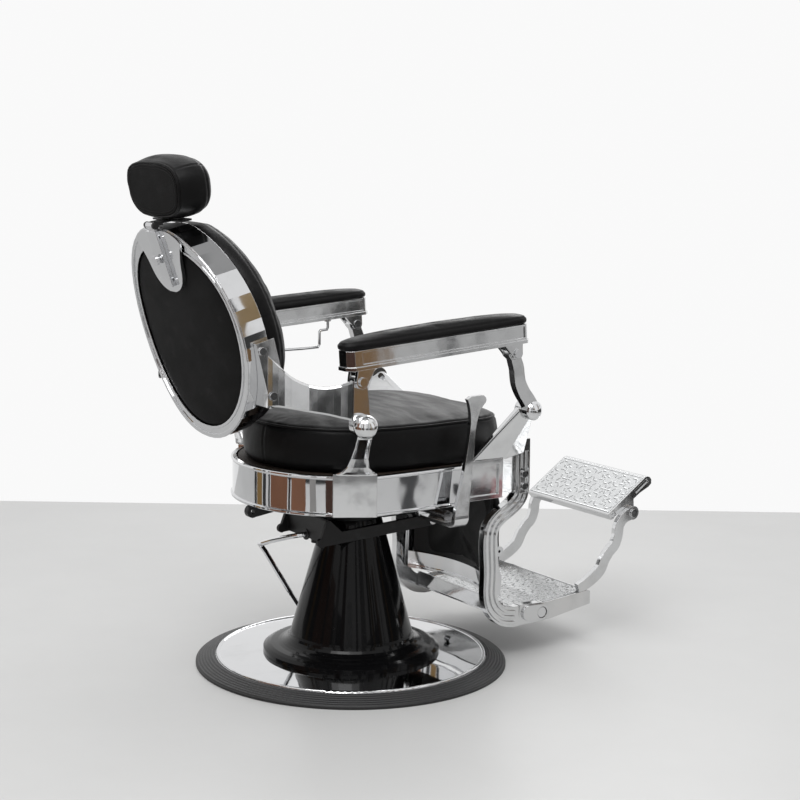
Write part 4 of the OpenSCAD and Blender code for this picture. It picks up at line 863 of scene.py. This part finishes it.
class CHAIR_OT_calf_pad(bpy.types.Operator):
    """Calf pad: leather over foam on the curved panel, with a seam round its edge."""

    bl_idname = "chair.calf_pad"
    bl_label = "Calf pad"

    def execute(self, context):
        s = context.scene.chair_sizes
        P = np.stack([calf_line(d, out) for d, out in eased(CALF_ROWS, 30)])
        obj = leather_piece("calf_pad_cover", rings(P), "seat")
        swell(obj, s.voxel * 0.8, s.pad_swell,
              lambda p: smooth(np.hypot(p[:, 0], p[:, 1] - CALF_AXIS_Y) - CALF_RADIUS, 3, 14))
        groove(obj, onto(obj, even(calf_line(2, 16), 3.5, True))[0], 0.9, 2.0, 0.3)
        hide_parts("calf_pad")
        body(obj)
        return {"FINISHED"}


LATTICE, BAR_WIDTH, EDGE_BLUR = 70.0, 2.6, 0.9
STAR_RADIUS, RING_RADIUS, RING_LEAN = 10.5, 25.0, 0.8
BORDER_INSET, BORDER_HALF_WIDTH = 2.8, 1.1
STEP_LINE, STEP_HALF_WIDTH = [(-600.5, 283.1), (-705.5, 355.0)], 143.5
FOOT_LINE, FOOT_HALF_WIDTH = [(-297, 106), (-420, 106), (-531, 115.7)], 154.5


def bar(x, s, radius, at, turn, long):
    """A raised bar with round ends: 0 to 1 from the distance to a segment, its middle at a radius and an angle."""
    u, v = x - radius * math.cos(at), s - radius * math.sin(at)
    along, across = u * math.cos(turn) + v * math.sin(turn), v * math.cos(turn) - u * math.sin(turn)
    distance = np.hypot(np.maximum(np.abs(along) - long / 2, 0), across)
    return smooth(BAR_WIDTH / 2 - distance, -EDGE_BLUR, EDGE_BLUR)


def dot(x, s, r):
    """A raised dot, 0 to 1."""
    return smooth(r - np.hypot(x, s), -EDGE_BLUR, EDGE_BLUR)


def ornament(x, s, wide, deep):
    """Raised pattern, 0 to 1: at each lattice point a dot in a star of six bars inside a ring of twelve leaning bars,
    five bars round a dot between the rings, and a plain border."""
    mid = s - deep / 2
    dx, ds = x - np.round(x / LATTICE) * LATTICE, mid - np.round(mid / LATTICE) * LATTICE
    cx = x - (np.floor(x / LATTICE) + 0.5) * LATTICE
    cs = mid - (np.floor(mid / LATTICE) + 0.5) * LATTICE
    marks = [dot(dx, ds, 2.6), dot(cx, cs, 2.2)]
    for k in range(6):
        at = k * math.pi / 3
        marks.append(bar(dx, ds, STAR_RADIUS, at, at, 6.5))
    for k in range(12):
        at = (k + 0.5) * math.pi / 6
        lean = RING_LEAN if k % 2 else -RING_LEAN
        marks.append(bar(dx, ds, RING_RADIUS, at, at + math.pi / 2 + lean, 8.5))
    for k in range(5):
        at = k * math.pi / 2.5
        marks.append(bar(cx, cs, STAR_RADIUS, 0.3 + at, 1.0 + at, 7.5))
    edge = np.minimum(wide / 2 - np.abs(x), np.minimum(s, deep - s))
    border = smooth(BORDER_HALF_WIDTH - np.abs(edge - BORDER_INSET), -0.4, 0.4)
    return np.maximum(np.max(marks, 0) * smooth(edge, 6.0, 7.5), border)


class CHAIR_OT_reliefs(bpy.types.Operator):
    """Raised pattern sheets on the step plate and the lower foot plate."""

    bl_idname = "chair.reliefs"
    bl_label = "Foot plate reliefs"

    def sheet(self, name, node_body, line, half, finish):
        """A sheet along a folded line (y, z) that runs forward: out = 0.15 + height ornament, closed by an underside
        0.5 mm inside the plate."""
        sizes = bpy.context.scene.chair_sizes
        step, height = sizes.relief_step * 1000, sizes.relief * 1000
        line = np.array(line, float)
        way = np.concatenate([[0], np.cumsum(np.linalg.norm(np.diff(line, axis=0), axis=1))])
        m, n = int(way[-1] / step) + 1, int(2 * half / step) + 1
        s, x = np.linspace(0, way[-1], m), np.linspace(-half, half, n)
        y, z = np.interp(s, way, line[:, 0]), np.interp(s, way, line[:, 1])
        ty, tz = np.gradient(y, s), np.gradient(z, s)
        ny, nz = tz / np.hypot(ty, tz), -ty / np.hypot(ty, tz)
        S, X = np.meshgrid(s, x, indexing="ij")
        lift = ornament(X, S, 2 * half, way[-1])
        out = 0.15 + height * lift
        out[[0, -1]] = out[:, [0, -1]] = -0.5
        verts = np.stack([X, y[:, None] + ny[:, None] * out, z[:, None] + nz[:, None] * out], -1).reshape(-1, 3)
        i, j = (a.ravel() for a in np.meshgrid(np.arange(m - 1), np.arange(n - 1), indexing="ij"))
        top = np.stack([i * n + j, i * n + j + 1, (i + 1) * n + j + 1, (i + 1) * n + j], -1)
        under = np.arange(1, m - 2)[:, None] * n + [n, 2 * n - 1, n - 1, 0]
        # the first and last strips of the underside take in every point of the sheet's ends
        first = np.array([[n, 2 * n - 1, *range(n - 1, -1, -1)]])
        last = np.array([[(m - 1) * n - 1, (m - 2) * n, *range((m - 1) * n, m * n)]])
        skin = outward(verts, [top, under, first, last])
        obj = piece(name, verts, skin, "relief_metal", node_body, made(finish))
        raised = obj.data.attributes.new("raised", "FLOAT", "POINT")
        raised.data.foreach_set("value", lift.astype(np.float32).ravel())
        body(obj)

    def execute(self, context):
        # the step plate takes the lighter painted copy of the relief finish, the foot plate the darker painted-shade
        # copy
        self.sheet("step_plate_relief", "step", STEP_LINE, STEP_HALF_WIDTH, "Relief plate")
        self.sheet("foot_plate_relief", "footrest", FOOT_LINE, FOOT_HALF_WIDTH, "Worn relief plate")
        return {"FINISHED"}


# ---------- studio, in metres ----------

# the floor lies along the camera's heading (ahead) and square to it (across)
AHEAD, ACROSS = np.array((0.824, -0.566, 0)), np.array((0.566, 0.824, 0))
FLOOR_NEAR, FLOOR_FAR, FLOOR_SIDE = -24.0, 1.54, 24.0
BOARD_RADIUS, SKIRTING_RADIUS = 1.75, 1.78
# upright boards round the chair: start and end in degrees, foot and top, colour
SKIRTINGS = (
    (38, 128, 0.13, 0.55, (0.02, 0.02, 0.02)), (128, 206, 0.13, 0.45, (0.03, 0.03, 0.03)),
    (206, 220, 0.17, 0.27, (0.03, 0.03, 0.03)), (220, 262, 0.16, 0.55, (0.02, 0.02, 0.02)),
)
BOARDS = (
    (50, 53, 0, 2.0, (0.015, 0.015, 0.015)), (53.5, 60, 0, 1.7, (0.20, 0.12, 0.04)),
    (61, 65, 0, 2.0, (0.02, 0.02, 0.02)), (68, 70, 0, 2.0, (0.02, 0.02, 0.02)),
    (71, 90, 0, 1.6, (0.17, 0.075, 0.04)), (91, 93, 0, 2.1, (0.02, 0.012, 0.01)),
    (94, 108, 0, 0.6, (0.20, 0.09, 0.05)), (112, 118, 0, 1.9, (0.30, 0.29, 0.28)),
    (127, 134, 0, 2.0, (0.05, 0.022, 0.014)), (138, 149, 0, 0.6, (0.62, 0.62, 0.62)),
    (156, 160, 0, 1.9, (0.12, 0.12, 0.12)), (166, 176, 0, 1.8, (0.28, 0.28, 0.28)),
    (183, 187, 0, 2.0, (0.02, 0.02, 0.02)), (188, 192, 0, 1.7, (0.20, 0.14, 0.07)),
    (194, 197, 0, 0.6, (0.03, 0.03, 0.03)), (199.5, 201.2, 0, 0.6, (0.03, 0.03, 0.03)),
    (201.2, 204.5, 0, 0.6, (0.17, 0.10, 0.045)), (209.6, 211, 0, 0.6, (0.05, 0.05, 0.052)),
    (212.9, 213.3, 0, 0.6, (0.03, 0.03, 0.03)), (214.6, 218.2, 0, 0.11, (0.02, 0.02, 0.022)),
    (218.2, 219.2, 0, 0.13, (0.28, 0.012, 0.02)), (222, 225, 0, 2.0, (0.02, 0.02, 0.02)),
    (227, 230, 0, 1.7, (0.26, 0.15, 0.06)), (234, 239, 0, 2.0, (0.015, 0.015, 0.015)),
    (249, 253, 0, 1.8, (0.05, 0.05, 0.05)),
)
CEILING = [(-1.0, -0.5, 2.6), (-1.0, 1.0, 2.6), (0.5, 1.0, 2.6), (0.5, -0.5, 2.6)]
# lamps aimed at the seat: name, place, width and depth, watts
LAMPS = (
    ("key", (-1.6, 1.2, 3.4), 2.2, 2.2, 42), ("fill", (2.2, -2.4, 2.8), 2.0, 2.0, 30),
    ("top", (0.2, -0.2, 3.8), 2.4, 2.4, 45), ("strip", (-0.9, 1.3, 2.3), 1.5, 0.7, 14),
)
WORLD_LIGHT, WORLD_SEEN = (0.60, 0.60, 0.61, 1), (0.95, 0.95, 0.95, 1)
CAMERA_PLACE, CAMERA_LENS = (-3.06951, 1.98902, 1.1474), 78.517
CAMERA_RIGHT = (-0.56421331, -0.82550309, 0.01442151)
CAMERA_UP = (0.1365666, -0.07608511, 0.98770472)
CAMERA_BACK = (-0.81425604, 0.55924565, 0.15566438)


def staged(name, points, faces, finish, only_reflected=False):
    """A stage object in metres; one that is only reflected shows in glossy surfaces and throws no shadow."""
    mesh = bpy.data.meshes.new(name)
    mesh.from_pydata(points, [], faces)
    mesh.materials.append(finish.material)
    obj = bpy.data.objects.new(name, mesh)
    bpy.context.scene.collection.objects.link(obj)
    if only_reflected:
        obj.visible_camera = obj.visible_diffuse = obj.visible_shadow = False


class CHAIR_OT_stage(bpy.types.Operator):
    """Plain pale floor and backdrop, soft lamps, dark and warm boards that only the plate reflects, and the camera."""

    bl_idname = "chair.stage"
    bl_label = "Studio"

    def execute(self, context):
        self.floor(tuple(context.scene.chair_colours.floor))
        self.boards()
        self.world(context.scene)
        self.lamps(context.scene)
        self.camera(context.scene)
        context.scene.view_settings.view_transform = "Standard"
        return {"FINISHED"}

    def floor(self, tone):
        """A pale floor that ends beyond the chair as the camera sees it; the backdrop begins there."""
        floor = Finish("Studio floor", IOR=1.45, Specular_IOR_Level=0.22)
        clouds = floor.noise(1.6, 4.0, 0.6)
        veins = floor.noise(5.0, 5.0, 0.7)
        floor.feed("Base Color", floor.blend(clouds * 0.6 + veins * 0.4, tone, tint(tone, 0.9)))
        floor.feed("Roughness", 0.30 + 0.1 * veins)
        near, far, side = FLOOR_NEAR * AHEAD, FLOOR_FAR * AHEAD, FLOOR_SIDE * ACROSS
        corners = [near - side, far - side, far + side, near + side]
        staged("studio_floor", [c.tolist() for c in corners], [(0, 1, 2, 3)], floor)

    def boards(self):
        """Boards as arcs of 5 degree steps, and a chequered ceiling card."""
        for k, (start, end, low, high, rgb) in enumerate(SKIRTINGS + BOARDS):
            away = SKIRTING_RADIUS if low else BOARD_RADIUS
            count = int((end - start) / 5) + 2
            a, z = np.meshgrid(np.radians(np.linspace(start, end, count)), [low, high], indexing="ij")
            P = np.stack([away * np.cos(a), away * np.sin(a), z], -1).reshape(-1, 3)
            card = Finish(f"Studio board {k}", Roughness=0.8)
            card.feed("Base Color", card.blend(card.noise(3.0, 2.0), rgb, tint(rgb, 1.6)))
            faces = [(i, i + 2, i + 3, i + 1) for i in range(0, 2 * count - 2, 2)]
            staged(f"studio_board_{k}", P.tolist(), faces, card, only_reflected=True)
        card = Finish("Studio ceiling", Roughness=0.8)
        card.feed("Base Color", card.blend(card.cells(5.0).step(0.0, 0.5), (0.42, 0.42, 0.42), (0.62, 0.62, 0.62)))
        staged("studio_ceiling", CEILING, [(0, 1, 2, 3)], card, only_reflected=True)

    def world(self, scene):
        """A backdrop that is bright where it is seen, by the camera or in plate, and softer as a light."""
        world = bpy.data.worlds.new("Studio world")
        world.use_nodes = True
        tree = world.node_tree
        tree.nodes.clear()
        out, back = tree.nodes.new("ShaderNodeOutputWorld"), tree.nodes.new("ShaderNodeBackground")
        path, mix = tree.nodes.new("ShaderNodeLightPath"), tree.nodes.new("ShaderNodeMix")
        seen = path.outputs["Is Camera Ray"]
        for kind in ("Is Glossy Ray", "Is Transmission Ray"):
            most = tree.nodes.new("ShaderNodeMath")
            most.operation = "MAXIMUM"
            tree.links.new(seen, most.inputs[0])
            tree.links.new(path.outputs[kind], most.inputs[1])
            seen = most.outputs[0]
        mix.data_type = "RGBA"
        tree.links.new(seen, mix.inputs[0])
        mix.inputs[6].default_value = WORLD_LIGHT
        mix.inputs[7].default_value = WORLD_SEEN
        tree.links.new(mix.outputs[2], back.inputs[0])
        tree.links.new(back.outputs[0], out.inputs[0])
        scene.world = world

    def lamps(self, scene):
        """Soft rectangular lamps."""
        for name, at, width, depth, watts in LAMPS:
            lamp = bpy.data.lights.new(f"studio_{name}", "AREA")
            lamp.shape, lamp.size, lamp.size_y, lamp.energy = "RECTANGLE", width, depth, watts
            holder = bpy.data.objects.new(f"studio_{name}", lamp)
            holder.location = at
            holder.rotation_euler = (Vector((0, 0, 0.5)) - Vector(at)).to_track_quat("-Z", "Y").to_euler()
            scene.collection.objects.link(holder)

    def camera(self, scene):
        """The camera: its axes are the columns of its matrix."""
        camera = bpy.data.cameras.new("studio_camera")
        camera.lens, camera.sensor_width, camera.clip_end = CAMERA_LENS, 36, 60
        holder = bpy.data.objects.new("studio_camera", camera)
        holder.matrix_world = Matrix([*zip(CAMERA_RIGHT, CAMERA_UP, CAMERA_BACK, CAMERA_PLACE), (0, 0, 0, 1)])
        scene.collection.objects.link(holder)
        scene.camera = holder


class CHAIR_PT_parts(bpy.types.Panel):
    """Lists the chair's pieces in the sidebar."""

    bl_label = "Barber chair"
    bl_idname = "CHAIR_PT_parts"
    bl_space_type = "VIEW_3D"
    bl_region_type = "UI"
    bl_category = "Chair"

    def draw(self, context):
        for group in (context.scene.chair_sizes, context.scene.chair_colours):
            box = self.layout.box()
            for key in type(group).__annotations__:
                box.prop(group, key)
        for kind in OPERATORS:
            self.layout.operator(kind.bl_idname)


OPERATORS = (CHAIR_OT_finishes, CHAIR_OT_seat, CHAIR_OT_back, CHAIR_OT_headrest, CHAIR_OT_arm_pads, CHAIR_OT_calf_pad,
             CHAIR_OT_reliefs, CHAIR_OT_stage)
CLASSES = (ChairSizes, ChairColours, *OPERATORS, CHAIR_PT_parts)


def register():
    """Registers the classes and hangs the settings on the scene."""
    for kind in CLASSES:
        bpy.utils.register_class(kind)
    bpy.types.Scene.chair_sizes = PointerProperty(type=ChairSizes)
    bpy.types.Scene.chair_colours = PointerProperty(type=ChairColours)


def unregister():
    """Takes the settings and the classes away again."""
    del bpy.types.Scene.chair_colours
    del bpy.types.Scene.chair_sizes
    for kind in reversed(CLASSES):
        bpy.utils.unregister_class(kind)


def main():
    """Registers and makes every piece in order."""
    register()
    for kind in OPERATORS:
        group, _, name = kind.bl_idname.partition(".")
        getattr(getattr(bpy.ops, group), name)()


if __name__ == "__main__":
    main()
